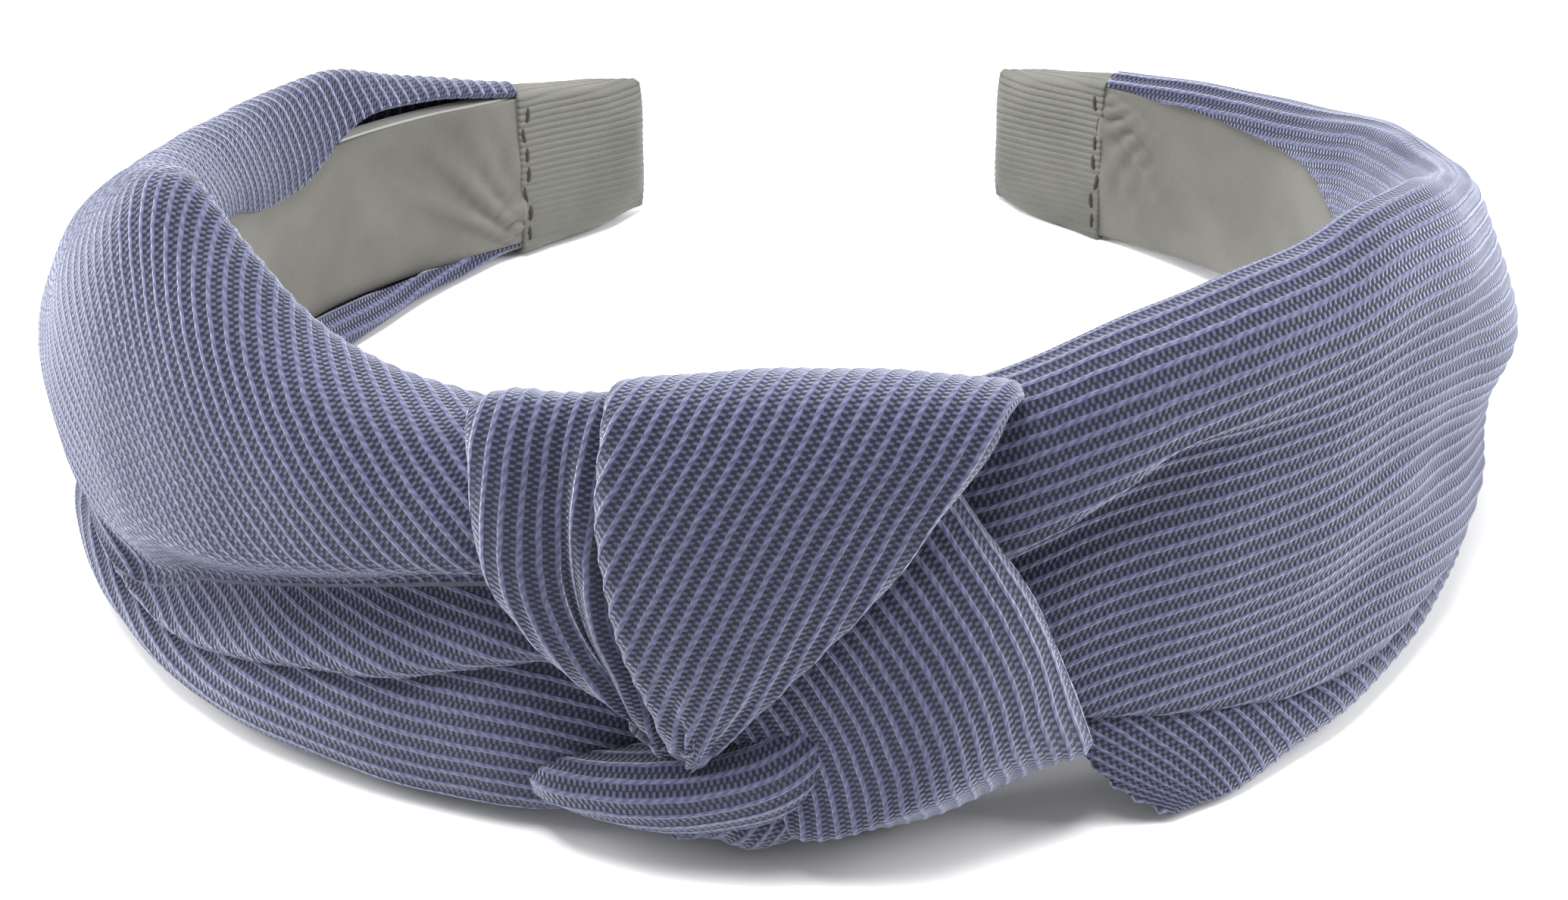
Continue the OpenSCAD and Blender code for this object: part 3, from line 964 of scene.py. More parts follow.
    def lower(self) -> Sheet:
        """Points run from under the upper drape down to the lowest fold and back to the inner hem.

        Returns:
            The sheet.
        """
        rows, knots = stations([
            (8, [(7, -2), (8.6, -7), (9.6, -12), (10, -16), (9, -20), (6.6, -21.6), (3, -18),
                 (-1, -9)]),
            (20, [(9, -1), (11.2, -7), (12.4, -12), (12.8, -17), (11.5, -22.3), (8, -23.6), (3, -19),
                  (-1, -9)]),
            (30, [(9.5, -4), (11.8, -10.5), (13, -14.5), (13.2, -19), (11.8, -22.8), (8, -23.6),
                  (3, -19), (-1, -9)]),
            (40, [(10, -7), (12.2, -12.5), (13.6, -15.8), (13.8, -19.3), (12.2, -22), (8.5, -22.6),
                  (3, -18.5), (-1, -9)]),
            (50, [(10.5, -9.5), (12.6, -14.5), (14.2, -16.8), (14.4, -19), (12.8, -21), (9, -21.5),
                  (3, -17.5), (-1, -9)]),
            (60, [(10.8, -8), (12.4, -12.8), (14.4, -14.8), (14.8, -16.8), (13, -19.2), (9.5, -20.2),
                  (3, -17), (-1, -9)]),
            (68, [(10.8, -4), (12.4, -9.5), (14.6, -12.3), (14.8, -15), (12.9, -17.8), (9.5, -19),
                  (3, -16.5), (-1, -9)]),
            (76, [(10.8, -4), (12.2, -9), (14.2, -11.8), (14.4, -14), (12.5, -16.6), (9, -18),
                  (3, -16), (-1, -9)]),
            (84, [(10, -4), (11.8, -9), (13, -11.6), (13, -13.6), (11.2, -15.8), (8.2, -17),
                  (3, -15.3), (-1, -9)]),
            (92, [(8.8, -4), (10.8, -9), (12.6, -11.6), (12.6, -13.6), (10.8, -15.4), (7.4, -15.9),
                  (2.8, -14.6), (-1, -9)]),
            (101, [(7, -4), (8.8, -9), (10.4, -11.2), (10.4, -12.8), (8.8, -14.2), (5, -14.6),
                   (-2.2, -14.2), (-1.4, -9)]),
            (110, [(5.2, -4), (6.6, -8.6), (8, -10.8), (8, -12), (6.6, -13), (3.2, -13.4),
                   (-3.6, -13.3), (-2, -9.2)]),
            (120, [(3.8, -4), (5, -8), (6.2, -9.8), (6.2, -10.8), (5, -11.6), (2, -12), (-3.8, -12),
                   (-2, -9.2)]),
            (130, [(3.2, -4), (3.8, -7.6), (4.7, -9), (4.7, -9.8), (4, -10.4), (1.8, -10.8),
                   (-2.2, -10.8), (-1.4, -9)]),
            (141.5, [(2.4, -4), (2.7, -6.6), (2.9, -8), (2.9, -8.8), (2.6, -9.4), (2, -9.7),
                     (.8, -9.8), (-.8, -8.8)]),
        ])
        return Sheet("left_lower_drape", rows, knots, side=self.side, middle=2, grain=Grain.TURNED,
                     turn=math.radians(-14), fine=(0.8, 0.42))


class RightDrape(Drape):
    """The right side: a full panel with a short fold and a soft ridge, over a lower layer."""

    def upper(self) -> Sheet:
        """Points run from the inner hem, over the top, past the short fold and down to the lower fold.

        Returns:
            The sheet.
        """
        rows, knots = stations([
            (12, [(-1, 8.8), (-.9, 10.5), (1, 13), (5, 16), (9, 15), (11.3, 9.5), (12, 3), (10.2, .8),
                  (11, -2), (11.6, -6), (12, -9), (11.6, -12.5), (10, -13.5)]),
            (18, [(-1, 8.8), (-.9, 10.8), (1, 14.5), (5.5, 18), (9.6, 16.8), (12.2, 11.8), (12.8, 5.2),
                  (10.4, 3), (11.2, -1), (11.8, -5.5), (12, -9.5), (11.6, -13), (10, -14.2)]),
            (24, [(-1, 8.8), (-.9, 11), (1, 16), (6, 20.4), (10.2, 19), (12.8, 14.6), (13.2, 8.9),
                  (10.6, 6.6), (11.4, 1), (12, -4.5), (12, -9.5), (11.8, -13.8), (10.2, -15)]),
            (30, [(-1, 8.8), (-.9, 11.5), (1, 17), (6.2, 22.4), (10.6, 20.8), (13, 17), (13.2, 12.4),
                  (11.2, 10.2), (11.8, 3), (12.6, -3.5), (12.2, -9.5), (12, -14.8), (10.4, -16)]),
            (36, [(-1, 8.8), (-.9, 11.8), (1, 18), (6.4, 23.8), (10.8, 22.2), (13.2, 18.4),
                  (13.2, 13.8), (12, 11), (12.2, 4), (13, -2.6), (12.4, -9), (12.4, -15.6),
                  (10.8, -17)]),
            (44, [(-1, 8.8), (-.9, 12), (1, 18.5), (6.6, 25.2), (11, 23.6), (13.4, 19), (13.2, 14),
                  (12.8, 10), (12.4, 4), (13.2, -1.6), (12.2, -8.5), (12.6, -16.6), (11, -18)]),
            (52, [(-1.2, 6), (-1, 11), (.9, 18.5), (6.4, 26.6), (10.6, 24.8), (13, 19.6), (13, 14),
                  (12.6, 9), (12, 3.6), (12.8, -.5), (12, -7), (12.8, -16), (11.2, -18.2)]),
            (60, [(-1.3, 2), (-1.2, 8), (.6, 17), (6, 26), (10.2, 24.2), (12.8, 18.8), (13, 13),
                  (12.8, 8), (11.6, 2.4), (11.6, -2), (12.4, -7), (12.8, -13.5), (11.4, -16)]),
            (68, [(-1.3, 0), (-1.2, 6), (.2, 15), (5, 23.6), (8.8, 22.4), (11.4, 17), (13.2, 12),
                  (14.2, 7), (12.2, .5), (11.6, -3), (12.2, -7), (12.4, -12), (11, -14)]),
            (78, [(-1.3, -1), (-1.2, 5), (0, 13), (4, 20.4), (7.6, 19.8), (10.2, 15.2), (12.2, 10.4),
                  (13.4, 5.5), (12, 0), (11.6, -3.5), (11.6, -7), (11.8, -11), (10.4, -13)]),
            (88, [(-1.3, -1), (-1.2, 5), (0, 12.5), (3, 18), (6.2, 17.6), (8.6, 13.4), (10.2, 8.8),
                  (11.2, 4.5), (11.4, 0), (11.2, -3.5), (10.8, -7), (10.6, -10.5), (9.2, -12)]),
            (97, [(-1.3, 0), (-1.2, 5.5), (-.1, 12), (2.4, 16.8), (5.2, 16.2), (8.2, 12.6), (9.6, 8.2),
                  (10, 4), (9.5, 0), (9.5, -3.5), (9.5, -6.5), (9.3, -9.5), (8, -11)]),
            (103, [(-1.3, 5.5), (-1.2, 8.2), (-.2, 12), (2, 15.6), (5, 15.6), (7.8, 12.3), (8.9, 7.8),
                   (9, 3.8), (8.6, 0), (8.6, -3.4), (8.5, -6.2), (8.3, -9.1), (7.1, -10.5)]),
            (109, [(-1.2, 8.2), (-1.1, 9.6), (-.2, 11.8), (1.8, 14.2), (4.4, 14.4), (6.8, 11.6),
                   (7.8, 7.4), (8, 3.6), (7.8, 0), (7.7, -3.2), (7.6, -6), (7.4, -8.8), (6.2, -10)]),
            (118, [(-1.2, 9), (-1, 10), (-.1, 11.4), (1.8, 12.8), (3.6, 12.9), (5.2, 10.4), (6, 6.8),
                   (6.2, 3.4), (6, 0), (6, -3), (5.9, -5.8), (5.6, -8.4), (4.6, -9.4)]),
            (130, [(-1.1, 9.3), (-.8, 10), (.2, 11), (1.7, 11.8), (3, 11.6), (4, 9.4), (4.5, 6.2),
                   (4.6, 3), (4.6, 0), (4.5, -3), (4.4, -5.6), (4.2, -8), (3.4, -8.8)]),
            (143.8, [(-.8, 9.6), (-.3, 10), (.6, 10.4), (1.6, 10.6), (2.6, 10.3), (3.1, 8.6),
                     (3.3, 5.8), (3.3, 3), (3.3, 0), (3.3, -3), (3.3, -5.4), (3.2, -7.6),
                     (2.7, -8.4)]),
        ])
        return Sheet("right_upper_drape", rows, knots, side=self.side, middle=4, fine=(0.85, 0.4))

    def lower(self) -> Sheet:
        """Points run from under the upper drape down to the lowest fold and back to the inner hem.

        Returns:
            The sheet.
        """
        rows, knots = stations([
            (28, [(9.5, -9), (10.8, -13), (12.2, -17), (13.6, -21), (14.6, -24), (13, -23.9),
                  (10.8, -18.5), (8.4, -9)]),
            (36, [(10, -10), (11.6, -15.5), (13.2, -18.5), (14.2, -21.5), (14.2, -23.8), (12, -23.6),
                  (7.5, -18.5), (4, -9)]),
            (44, [(10, -11), (11.8, -16.8), (13.4, -19), (13.6, -21), (12, -22.6), (8.6, -22.4),
                  (3, -18), (-1, -9)]),
            (52, [(10, -11), (11.6, -16), (12.8, -18), (12.8, -19.8), (11.2, -21.4), (8, -21.4),
                  (3, -17.5), (-1, -9)]),
            (60, [(9.6, -9), (11.2, -14), (12.2, -16.3), (12, -18.2), (9.8, -19.8), (6.8, -20.2),
                  (3, -17), (-1, -9)]),
            (70, [(9, -8), (10.4, -12.6), (11.4, -14.6), (11.2, -16.4), (8.8, -18), (6.2, -18.6),
                  (3, -16.5), (-1, -9)]),
            (80, [(8.6, -7.5), (10, -11.8), (10.9, -13.2), (10.7, -14.8), (8.6, -16.5), (6, -17),
                  (3, -15.8), (-1, -9)]),
            (90, [(8.6, -7), (10, -11), (11, -12.4), (11, -14), (9.6, -15.8), (6.6, -16.1),
                  (2.6, -14.6), (-1, -9)]),
            (100, [(7.4, -6.5), (8.6, -10.2), (9.4, -11.4), (9.3, -12.6), (8.2, -14.1), (5.6, -14.4),
                   (2.2, -13.4), (-1, -9)]),
            (110, [(5.6, -6), (6.8, -9.2), (7.5, -10), (7.4, -10.8), (6.4, -11.6), (4.4, -11.8),
                   (1.8, -11), (-.2, -9.2)]),
            (120, [(4, -5.5), (4.9, -8.4), (5.7, -9), (5.6, -9.4), (4.8, -9.8), (3.4, -9.9),
                   (1.2, -9.8), (.3, -9.2)]),
            (130, [(3.2, -5), (3.8, -7.8), (4.4, -8.4), (4.3, -8.9), (3.7, -9.4), (2.7, -9.6),
                   (1.1, -9.6), (.3, -9.1)]),
            (143.8, [(2.4, -5), (2.8, -7.2), (3.1, -7.8), (3.1, -8.4), (2.7, -8.9), (2, -9.1),
                     (.9, -9.2), (.3, -8.9)]),
        ])
        rows[0, :, 0] += [-8, -7, -5, -2, 2, 1, -4, -8]
        return Sheet("right_lower_drape", rows, knots, side=self.side, middle=2, grain=Grain.TURNED,
                     turn=math.radians(52), fine=(0.7, 0.42))


# ---------------------------------------------------------------- the knot


def upright(rows: Sequence[Sequence[tuple[float, float, float]]]) -> np.ndarray:
    """Turns the knot's own points into upright points.

    Args:
        rows: rows of points, each as x, depth in front of the hoop's centre, and height.

    Returns:
        The rows of upright points.
    """
    grid = np.array(rows, float)
    return np.stack([grid[..., 0], -grid[..., 1], grid[..., 2]], axis=-1)


@dataclass
class Knot:
    """The knot: a front wrap over a left pleat, a right lobe, a lower loop and a tuck under it."""

    finishes: dict[Slot, bpy.types.Material]
    steps: tuple[float, float] = (0.55, 0.42)

    def build(self) -> None:
        """Builds each fold and the wrap behind them."""
        made = {
            "knot_front_wrap": self.front_wrap(),
            "knot_left_pleat": self.left_pleat(),
            "knot_right_lobe": self.right_lobe(),
            "knot_lower_loop": self.lower_loop(),
            "knot_bottom_tuck": self.bottom_tuck(),
        }
        for node, sheet in made.items():
            obj = sheet.build()
            finish_piece(obj, self.finishes, Slot.CLOTH)
            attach(obj, "crown")
            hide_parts(node)
        obj = self.back_wrap().build()
        finish_piece(obj, self.finishes, Slot.CLOTH)
        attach(obj, "crown")
        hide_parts("band_left_neck", "band_right_neck")

    def fold(self, name: str, rows: np.ndarray, turn: float, middle: int) -> Sheet:
        """A fold of the knot, with its ribs turned from the way the rows follow each other.

        Args:
            name: the piece's name.
            rows: its rows of upright points.
            turn: how far the ribs are turned, in degrees.
            middle: the column that its places are measured from.

        Returns:
            The sheet.
        """
        return Sheet(name, rows, np.arange(len(rows), dtype=float), middle=middle, grain=Grain.TURNED,
                     turn=math.radians(turn), fine=self.steps, ripple=0.1)

    def strap(self, bands: Sequence[tuple[float, float, float, float]], crown: float,
              roll: float) -> np.ndarray:
        """Rows of a flat folded strap with both edges rolled under.

        Args:
            bands: for each row its height, depth, left edge and right edge.
            crown: how far its middle stands proud.
            roll: radius of the rolled edges.

        Returns:
            The rows of upright points, from the left edge to the right.
        """
        rows = []
        run = self.inward([(band[1], band[0]) for band in bands])
        for (z, depth, left, right), (down, back) in zip(bands, run):
            wide = right - left
            r = min(roll, wide / 4)
            line = [(left + 1.4 * r, 6 * r), (left + 0.5 * r, 3 * r), (left, r), (left + 0.5 * r, 0.25 * r),
                    (left + 1.8 * r, 0), (left + wide * 0.35, -crown), (left + wide * 0.65, -crown),
                    (right - 1.8 * r, 0), (right - 0.5 * r, 0.25 * r), (right, r),
                    (right - 1.5 * r, 2.6 * r), (right - 4 * r, 6 * r)]
            rows.append([(x, depth + back * deep, z + down * deep) for x, deep in line])
        return upright(rows)

    @staticmethod
    def inward(line: Sequence[tuple[float, float]]) -> list[tuple[float, float]]:
        """Directions square to a strap's run, into the knot.

        Args:
            line: the run, as depth and height, from behind the knot over its top and down its front.

        Returns:
            For each point the way down and the way back.
        """
        run = np.gradient(np.array(line, float), axis=0)
        run /= np.linalg.norm(run, axis=1, keepdims=True)
        return [(-depth, height) for depth, height in run]

    def front_wrap(self) -> Sheet:
        """The broad strap over the knot, narrowing to its lower left.

        Returns:
            The sheet.
        """
        rows = self.strap([
            (9, 53, -11, 16), (13.4, 54.2, -12.5, 18), (16.8, 57.2, -13.8, 19.4), (19.1, 61.2, -14.3, 20),
            (20.2, 65, -14.6, 19.6), (19.4, 68.2, -14.8, 18.4), (16, 70.2, -15.2, 16.6),
            (10.5, 71.4, -15.5, 12.8), (5, 72, -15.1, 9), (0, 72, -14.2, 5), (-4, 71.8, -13, 1.6),
            (-8, 71.1, -11.6, -1.7), (-11.4, 70.2, -10.6, -4.2), (-14.4, 68, -9.8, -6),
            (-17, 65, -9.4, -7)], crown=0.7, roll=1.3)
        return self.fold("knot_front_wrap_cloth", rows, -17, 5)

    def left_pleat(self) -> Sheet:
        """The strap at the left of the knot, with a narrow ridge beside the front wrap.

        Returns:
            The sheet.
        """
        wrap_edge = [-12, -13, -14, -14.2, -14.4, -15.2, -15.5, -15.1, -14.2, -12.6, -11.4, -9.8, -8.6]
        bands = [(9, 53, -23), (12.6, 54.4, -25), (15.8, 57.6, -26), (17.8, 61.2, -26.2),
                 (18.2, 64.6, -26.3), (15.4, 67, -26.4), (10, 68.4, -26.1), (4, 68.8, -25.2),
                 (-1, 68.9, -22.6), (-5, 68.7, -19.4), (-8.5, 68.2, -16), (-12, 67.6, -12.4),
                 (-14.8, 66.4, -9.8)]
        rows = []
        run = self.inward([(depth, z) for z, depth, _ in bands])
        for k, ((z, depth, left), wrap, (down, back)) in enumerate(zip(bands, wrap_edge, run)):
            wide = wrap - left
            ridge = min(max((k - 4) / 4, 0.0), 1.0)
            line = [(left + 1.8, 7.5), (left + .6, 4), (left, 1.1), (left + .7, .3),
                    (left + wide * .3, -.3), (left + wide * .55, .3 * ridge),
                    (wrap - 2.9, 1.2 * ridge), (wrap - 1.8, -.7 * ridge),
                    (wrap - .9, -.7 * ridge), (wrap + .6, .6), (wrap + 2.4, 2.4)]
            rows.append([(x, depth + back * deep, z + down * deep) for x, deep in line])
        return self.fold("knot_left_pleat_cloth", upright(rows), -8, 4)

    def right_lobe(self) -> Sheet:
        """The full fold at the lower right, its ribs running down and round.

        Returns:
            The sheet.
        """
        rows = upright([
            [(-8, 65, -9), (-7, 67.6, -8.4), (-1, 69.5, -3), (4, 69.8, 3), (9, 69, 8),
             (12.5, 67.5, 11), (13.6, 65, 12), (12.6, 63, 11.4)],
            [(-6, 65, -12.4), (-5, 67.8, -12), (2, 70.2, -7), (7, 71, -1), (12, 70.2, 4),
             (16, 67.8, 6.6), (17, 65.4, 7), (15.8, 63.4, 6.2)],
            [(-3, 65.5, -15.4), (-2.4, 68.4, -15.2), (4.4, 71, -11), (10, 71.8, -6), (15.6, 70.6, -1),
             (20, 67.4, 1.2), (20.8, 65, 1.2), (19.4, 63, .6)],
            [(-1, 65.5, -18.4), (-.6, 68.8, -18.3), (5.6, 71.2, -15.6), (12, 71.8, -11),
             (18, 70.2, -6.6), (22.8, 66.8, -4.4), (23.4, 64.6, -4.6), (22, 62.6, -5)],
            [(.8, 66.4, -21), (.8, 69.2, -21.2), (6, 70.8, -19.8), (13, 71.2, -15.8), (20, 69, -12),
             (25, 65.8, -10), (25.6, 63.6, -10), (24, 61.6, -10)],
            [(1.4, 64, -21.5), (1.6, 67, -21.8), (6.4, 68.8, -20.6), (13.8, 69, -18.4),
             (21.4, 66.6, -15.6), (26.6, 64, -15.6), (27.2, 62.2, -15.4), (25.6, 60.4, -14.4)],
            [(2, 63.6, -24), (2.4, 64.6, -24.2), (7, 65, -23.4), (14, 64.6, -21.6),
             (21.8, 62.6, -18.8), (26.4, 61, -17.4), (27, 59.6, -16.8), (25.4, 58, -15.8)],
            [(2, 59, -24.2), (3, 60, -24.4), (7.4, 60.2, -24.2), (13.8, 60, -22.8), (21, 58.6, -20),
             (25, 57.4, -17.8), (25.6, 56.6, -17), (24.4, 55.8, -15.8)],
            [(2, 53.2, -10), (4, 53.2, -10), (8, 53, -10), (13, 52.6, -10), (18, 51.8, -10),
             (21.4, 50.8, -10), (22, 50.6, -10), (21, 50.8, -10)],
        ])
        return self.fold("knot_right_lobe_cloth", rows, 0, 3)

    def lower_loop(self) -> Sheet:
        """The rolled loop at the lower left, its ribs running its whole length.

        Returns:
            The sheet.
        """
        rows = upright([
            [(-22, 56, -18), (-23, 59, -18.4), (-23.4, 61, -19.4), (-23.2, 60.6, -21),
             (-21.6, 58, -21.8), (-20, 55, -21)],
            [(-19, 60, -16.2), (-20.6, 64, -17), (-21, 65.6, -18.6), (-20.4, 65.4, -20.2),
             (-18.6, 62.8, -21.8), (-17, 59, -21.2)],
            [(-12.6, 63, -15), (-14.4, 67.2, -15.4), (-14.6, 69, -17.6), (-13.8, 68.4, -20.4),
             (-12.6, 65, -22.8), (-11.6, 61, -22.8)],
            [(-6, 64, -13.4), (-7.4, 68.6, -13.8), (-7.6, 70.6, -16.4), (-7, 70, -19.6),
             (-6.2, 66.4, -22.6), (-5.6, 62.4, -22.4)],
            [(-1, 64.6, -11), (-1.8, 69.4, -11.4), (-1.2, 71.4, -14), (-.4, 71, -17.2),
             (-.2, 68, -20), (0, 63.4, -20.4)],
            [(2.6, 64, -8), (2.4, 68.6, -8.4), (3, 70.4, -11), (3.6, 70, -14), (3.6, 67.4, -16.8),
             (3.4, 63.6, -17)],
            [(5, 61, -6), (5.2, 64.8, -6.2), (5.8, 66.4, -8.4), (6.2, 66, -11), (6.2, 64, -13.4),
             (5.8, 61, -13.6)],
        ])
        return self.fold("knot_lower_loop_cloth", rows, 0, 2)

    def bottom_tuck(self) -> Sheet:
        """The small tuck between the loop and the lobe, low down.

        Returns:
            The sheet.
        """
        rows = upright([
            [(-11, 60, -20), (-11, 64, -20), (-10.4, 66, -22), (-9.8, 65.4, -24), (-9.4, 62, -24.4),
             (-9.4, 57, -20)],
            [(-7, 62, -17.5), (-7, 66.4, -18), (-6.8, 67.4, -21), (-6.4, 66, -23.4), (-6, 62, -24.2),
             (-6, 57, -20)],
            [(-3, 62, -16), (-3, 67, -17), (-3, 68.4, -21), (-2.8, 66.8, -24.2), (-2.6, 62.6, -24.8),
             (-2.6, 57, -20)],
            [(.6, 62, -15), (.6, 67, -16), (.8, 68.2, -19.4), (1, 66.8, -23), (1, 62.6, -24.2),
             (1, 57, -20)],
            [(4, 61, -14), (4, 66, -15), (4.2, 67.6, -19), (4.4, 66.4, -22.6), (4.4, 62.4, -23.4),
             (4.2, 57, -20)],
        ])
        return self.fold("knot_bottom_tuck_cloth", rows, -50, 2)

    def back_wrap(self) -> Sheet:
        """The cloth behind the knot, round the strip from its inner top hem to its inner bottom hem.

        Returns:
            The sheet.
        """
        section = [(-1, 8.8), (-.9, 10.4), (.8, 12.4), (4, 13.6), (8, 11.5), (9.6, 5), (9.8, -4), (9, -13),
                   (7, -20), (3, -19.6), (.4, -13), (-1, -9)]
        half = 25.0
        rows = []
        for s in (-half, -half / 2, 0.0, half / 2, half):
            side = Side.LEFT if s < 0 else Side.RIGHT
            rows.append([HOOP.beside(side, abs(s), out, z) for out, z in section])
        return Sheet("knot_back_wrap", np.array(rows), np.arange(5, dtype=float), middle=5,
                     fine=(1.2, 0.5))


# ---------------------------------------------------------------- lining, tapes and threads


def thread(name: str, runs: Sequence[np.ndarray], radius: float) -> bpy.types.Object:
    """Round threads along lines of upright points, as one mesh.

    Args:
        name: the piece's name.
        runs: each thread's points.
        radius: the thread's radius.

    Returns:
        The new object, at the origin.
    """
    curve = bpy.data.curves.new(name, "CURVE")
    curve.dimensions = "3D"
    curve.bevel_depth = radius * MM
    curve.bevel_resolution = 2
    curve.use_fill_caps = True
    for run in runs:
        line = curve.splines.new("NURBS")
        line.points.add(len(run) - 1)
        for point, place in zip(line.points, HOOP.lay(np.array(run))):
            point.co = (*place, 1.0)
        line.use_endpoint_u = True
        line.order_u = 3
        line.resolution_u = 4
    holder = add_object(name + "_line", curve)
    bpy.context.view_layer.update()
    finished = holder.evaluated_get(bpy.context.evaluated_depsgraph_get())
    mesh = bpy.data.meshes.new_from_object(finished)
    bpy.data.objects.remove(holder)
    mesh.name = name
    return add_object(name, mesh)


@dataclass
class InnerSide:
    """What is on the inside and at the tip of one side: lining, tape sleeve and seam."""

    side: Side
    finishes: dict[Slot, bpy.types.Material]
    tape_at: float
    end_at: float
    half_w: float = 9.5
    tip_half: float = 7.4
    tape_t: float = 0.9
    stitches: int = 7
    thread_r: float = 0.27
    seam_margin: float = 0.9
    lining_grid: tuple[int, int] = (96, 27)
    bend_to: float = 60.0

    @property
    def label(self) -> str:
        """The side's name."""
        return self.side.name.lower()

    def build(self) -> None:
        """Builds the three pieces."""
        self.lining()
        self.tape()
        self.seam()

    def lining(self) -> None:
        """The ribbon glued to the strip's inside, softly creased near the tape."""
        lengthwise, crosswise = self.lining_grid
        rows, places = [], np.arange(0.0, self.tape_at + 0.1, self.tape_at / lengthwise)
        for s in places:
            row = []
            for f in np.linspace(-1, 1, crosswise):
                z = -f * (self.half_w - 0.15)
                wave = abs(math.sin(s * 0.23 + f * 2.1)) * 0.16
                row.append((s, -0.25 - 0.25 * (1 - f**4) - wave - self.creases(self.tape_at - s, z), z))
            rows.append(row)
        sheet = Sheet(f"{self.label}_lining", np.array(rows), places, side=self.side,
                      middle=crosswise // 2, relief=0.0, ripple=0.0, fine=(0.9, 0.6), thick=0.35)
        obj = sheet.build()
        finish_piece(obj, self.finishes, Slot.LINING)
        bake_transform(obj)
        crown = ["lining_crown"] if self.side is Side.LEFT else []
        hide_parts(f"lining_{self.label}_arm", *crown)

    def creases(self, gap: float, z: float) -> float:
        """Height of the creases that fan out over the lining from one corner of the seam.

        Args:
            gap: distance from the seam.
            z: height across the strip.

        Returns:
            How far the lining stands off the strip there, in millimetres.
        """
        corner = -self.half_w if self.side is Side.LEFT else self.half_w
        away = math.hypot(gap + 1.0, z - corner)
        angle = math.atan2(abs(z - corner), gap + 1.0)
        ridges = sum(math.exp(-((angle - at) / wide) ** 2) * high for at, wide, high in CREASES)
        rim = 1 - (abs(z) / self.half_w) ** 8
        return ridges * math.exp(-(away / 15) ** 2) * min(1.0, away / 4) * max(rim, 0.0)

    def ring(self, s: float, half: float, low: float, high: float,
             pinch: float) -> list[tuple[float, float, float]]:
        """One turn of the tape round the strip, starting and ending at the outer side's middle.

        Args:
            s: distance from the crown.
            half: half the tape's width.
            low: how far out its inner face is.
            high: how far out its outer face is.
            pinch: how far its edges are pinched flat, from 0 to 1.

        Returns:
            The turn's points, as distance, out and height.
        """
        mid = (low + high) / 2

        def fold(out: float, z: float) -> tuple[float, float, float]:
            """Pinches the tape flat towards its edge."""
            flat = pinch * max(0.0, (abs(z) / half - 0.55) / 0.45)
            return s, out + (mid - out) * min(flat, 0.8), z

        outer = [fold(high, z) for z in (0, half * .5, half * .86)]
        top = [fold(high - .2, half * .97), fold(mid, half), fold(low + .2, half * .97)]
        inner = [fold(low, z) for z in (half * .86, half * .5, 0, -half * .5, -half * .86)]
        bottom = [fold(low + .2, -half * .97), fold(mid, -half), fold(high - .2, -half * .97)]
        return outer + top + inner + bottom + [fold(high, z) for z in (-half * .86, -half * .5, 0)]

    def tape(self) -> None:
        """The tape sleeve, pinched into two square corners past the strip's rounded end."""
        long = self.end_at - self.tape_at
        rows, places = [], []
        for f, pinch, squeeze in TAPE_TURNS:
            s = self.tape_at + long * f
            half = self.half_w + 0.35 - (self.half_w - self.tip_half) * max(0.0, f)
            low, high = -self.tape_t + 0.25, HOOP.strip_t + self.tape_t - 0.1
            mid = (low + high) / 2
            inner, outer = low + (mid - low) * squeeze, high - (high - mid) * squeeze
            rows.append(self.ring(s, half, inner, outer, pinch))
            places.append(s)
        sheet = Sheet(f"{self.label}_tape_sleeve", np.array(rows), np.array(places), side=self.side,
                      middle=8, rib=0.82, relief=0.09, ripple=0.05, fine=(0.6, 0.2), thick=0.5)
        obj = sheet.build()
        finish_piece(obj, self.finishes, Slot.TAPE)
        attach(obj, f"{self.label}_arm")
        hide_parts(f"{self.label}_tip_tape")

    def seam(self) -> None:
        """The seam across the tape's start: one loose bar of thread for each stitch."""
        step = 2 * (self.half_w - self.seam_margin) / self.stitches
        runs = []
        for k in range(self.stitches):
            z = -self.half_w + self.seam_margin + step * k
            skew = 0.28 * math.sin(k * 2.3)
            s = self.tape_at + 0.35 + skew * 0.5
            runs.append(HOOP.beside(self.side, np.array([s, s + .05, s + skew, s + skew, s + skew]),
                                    np.array([-.5, -.95, -1.12, -.95, -.5]),
                                    np.array([z, z + .15, z + step * .45, z + step * .8, z + step * .86])))
        obj = thread(f"{self.label}_seam_stitches", runs, self.thread_r)
        finish_piece(obj, self.finishes, Slot.THREAD)
        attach(obj, f"{self.label}_arm")
        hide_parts(f"{self.label}_tip_stitches")


# ---------------------------------------------------------------- the studio


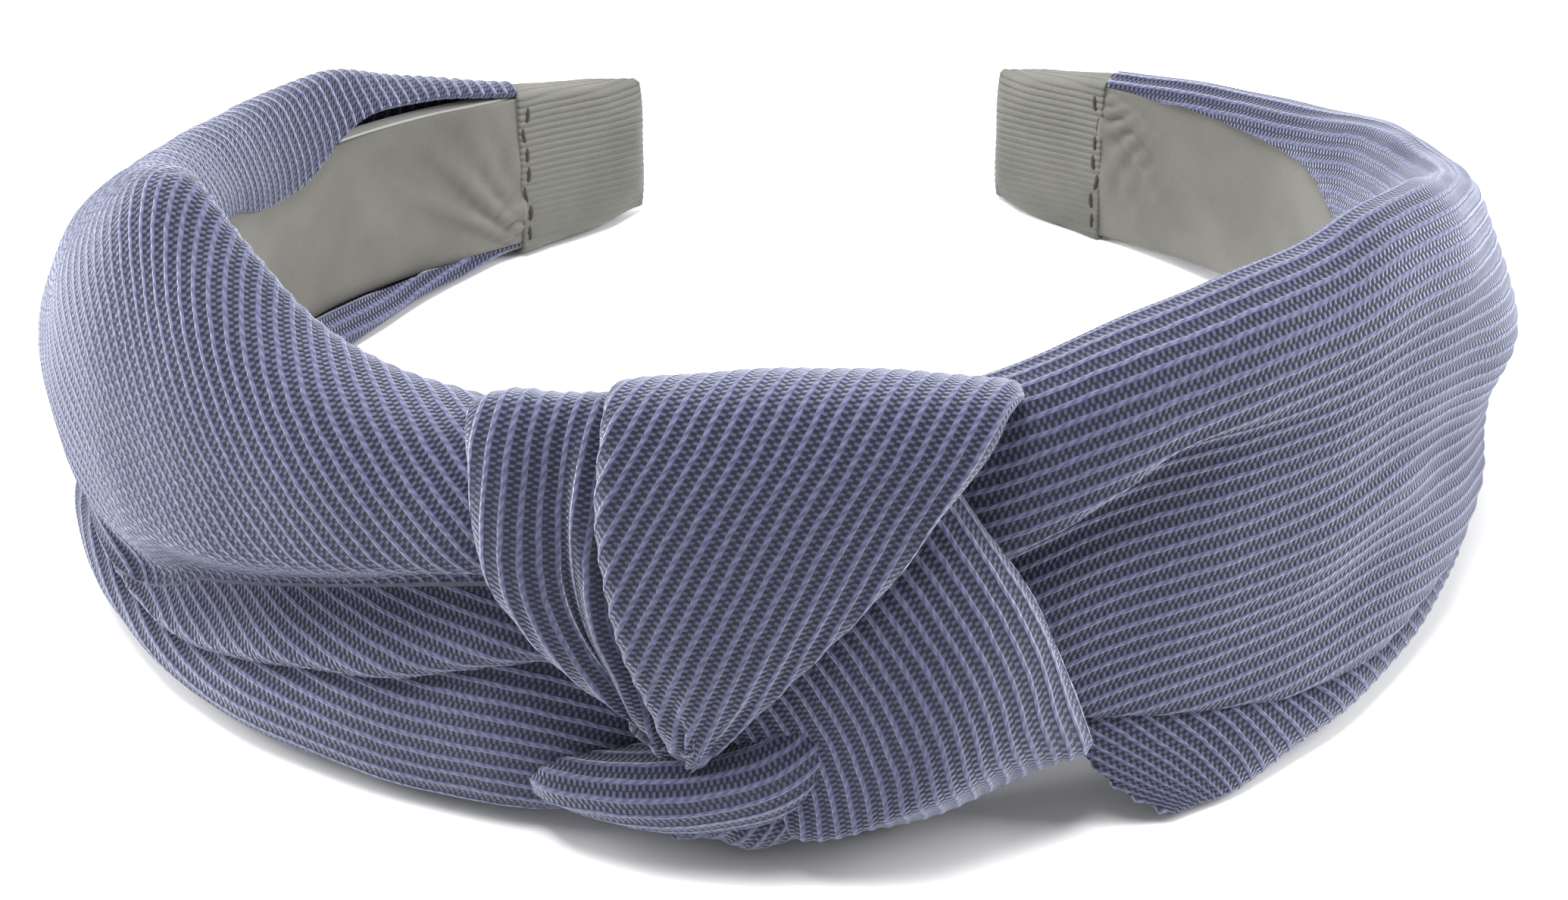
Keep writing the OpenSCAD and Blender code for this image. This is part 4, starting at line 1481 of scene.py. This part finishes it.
@dataclass(frozen=True)
class Studio:
    """Pale floor, soft light and the camera."""

    target: tuple[float, float, float] = (1.5, -19.2, 15.8)
    distance: float = 283.0
    elevation: float = 34.0
    lens: float = 66.087
    key_power: float = 5.2
    fill_power: float = 2.6
    sky_strength: float = 0.44
    floor_color: tuple[float, float, float, float] = (0.85, 0.85, 0.855, 1.0)
    lit_height: float = 15.0

    def build(self) -> None:
        """Builds everything that isn't the object."""
        self.camera()
        self.floor()
        self.lights()

    def camera(self) -> None:
        """Puts the camera in front of the knot, looking down at it."""
        data = bpy.data.cameras.new("Camera")
        data.lens = self.lens
        data.sensor_width = 36.0
        data.clip_start = 0.01
        obj = add_object("Camera", data)
        e = math.radians(self.elevation)
        back = Vector((0.0, -math.cos(e), math.sin(e)))
        obj.location = (Vector(self.target) + back * self.distance) * MM
        obj.rotation_euler = (-back).to_track_quat("-Z", "Y").to_euler()
        bpy.context.scene.camera = obj

    def floor(self) -> None:
        """A plain pale floor."""
        bm = bmesh.new()
        bmesh.ops.create_grid(bm, x_segments=1, y_segments=1, size=3.0)
        mesh = bpy.data.meshes.new("floor")
        bm.to_mesh(mesh)
        bm.free()
        obj = add_object("floor", mesh)
        made, _, shader = start_material("floor_paint")
        shader.inputs["Base Color"].default_value = self.floor_color
        shader.inputs["Roughness"].default_value = 0.9
        shader.inputs["Specular IOR Level"].default_value = 0.1
        mesh.materials.append(made)

    def lights(self) -> None:
        """One broad light overhead, two at the sides, and an even pale sky."""
        self.panel("key", (-60, -60, 540), 280, self.key_power)
        self.panel("left_fill", (-420, 40, 230), 260, self.fill_power)
        self.panel("right_fill", (430, 20, 240), 260, self.fill_power)
        world = bpy.data.worlds.new("sky")
        bpy.context.scene.world = world
        world.use_nodes = True
        sky = world.node_tree.nodes["Background"]
        sky.inputs["Color"].default_value = (1.0, 1.0, 1.0, 1.0)
        sky.inputs["Strength"].default_value = self.sky_strength
        bpy.context.scene.view_settings.view_transform = "Standard"

    def panel(self, name: str, place: tuple[float, float, float], size: float, power: float) -> None:
        """Adds a soft square light that faces the object.

        Args:
            name: the light's name.
            place: where it stands, in millimetres.
            size: its side, in millimetres.
            power: its power, in watts.
        """
        data = bpy.data.lights.new(name, "AREA")
        data.size = size * MM
        data.energy = power
        obj = add_object(name, data)
        obj.location = Vector(place) * MM
        aim = Vector((0, 0, self.lit_height * MM)) - obj.location
        obj.rotation_euler = aim.to_track_quat("-Z", "Y").to_euler()


def dress_core(finishes: dict[Slot, bpy.types.Material]) -> None:
    """Gives the strip's own nodes their plastic finish.

    Args:
        finishes: the material of each slot.
    """
    for name in ("core_crown", "core_left_arm", "core_right_arm"):
        node = frame["nodes"][name]
        node.data.materials.clear()
        node.data.materials.append(finishes[Slot.PLASTIC])


def main() -> None:
    """Builds the headband and its studio."""
    logging.basicConfig(level=logging.INFO, format="%(name)s: %(message)s")
    Studio().build()
    finishes = make_finishes()
    dress_core(finishes)
    LeftDrape(Side.LEFT, finishes).build()
    RightDrape(Side.RIGHT, finishes).build()
    Knot(finishes).build()
    InnerSide(Side.LEFT, finishes, tape_at=141.9, end_at=159.0).build()
    InnerSide(Side.RIGHT, finishes, tape_at=144.2, end_at=159.2).build()


if __name__ == "__main__":
    main()
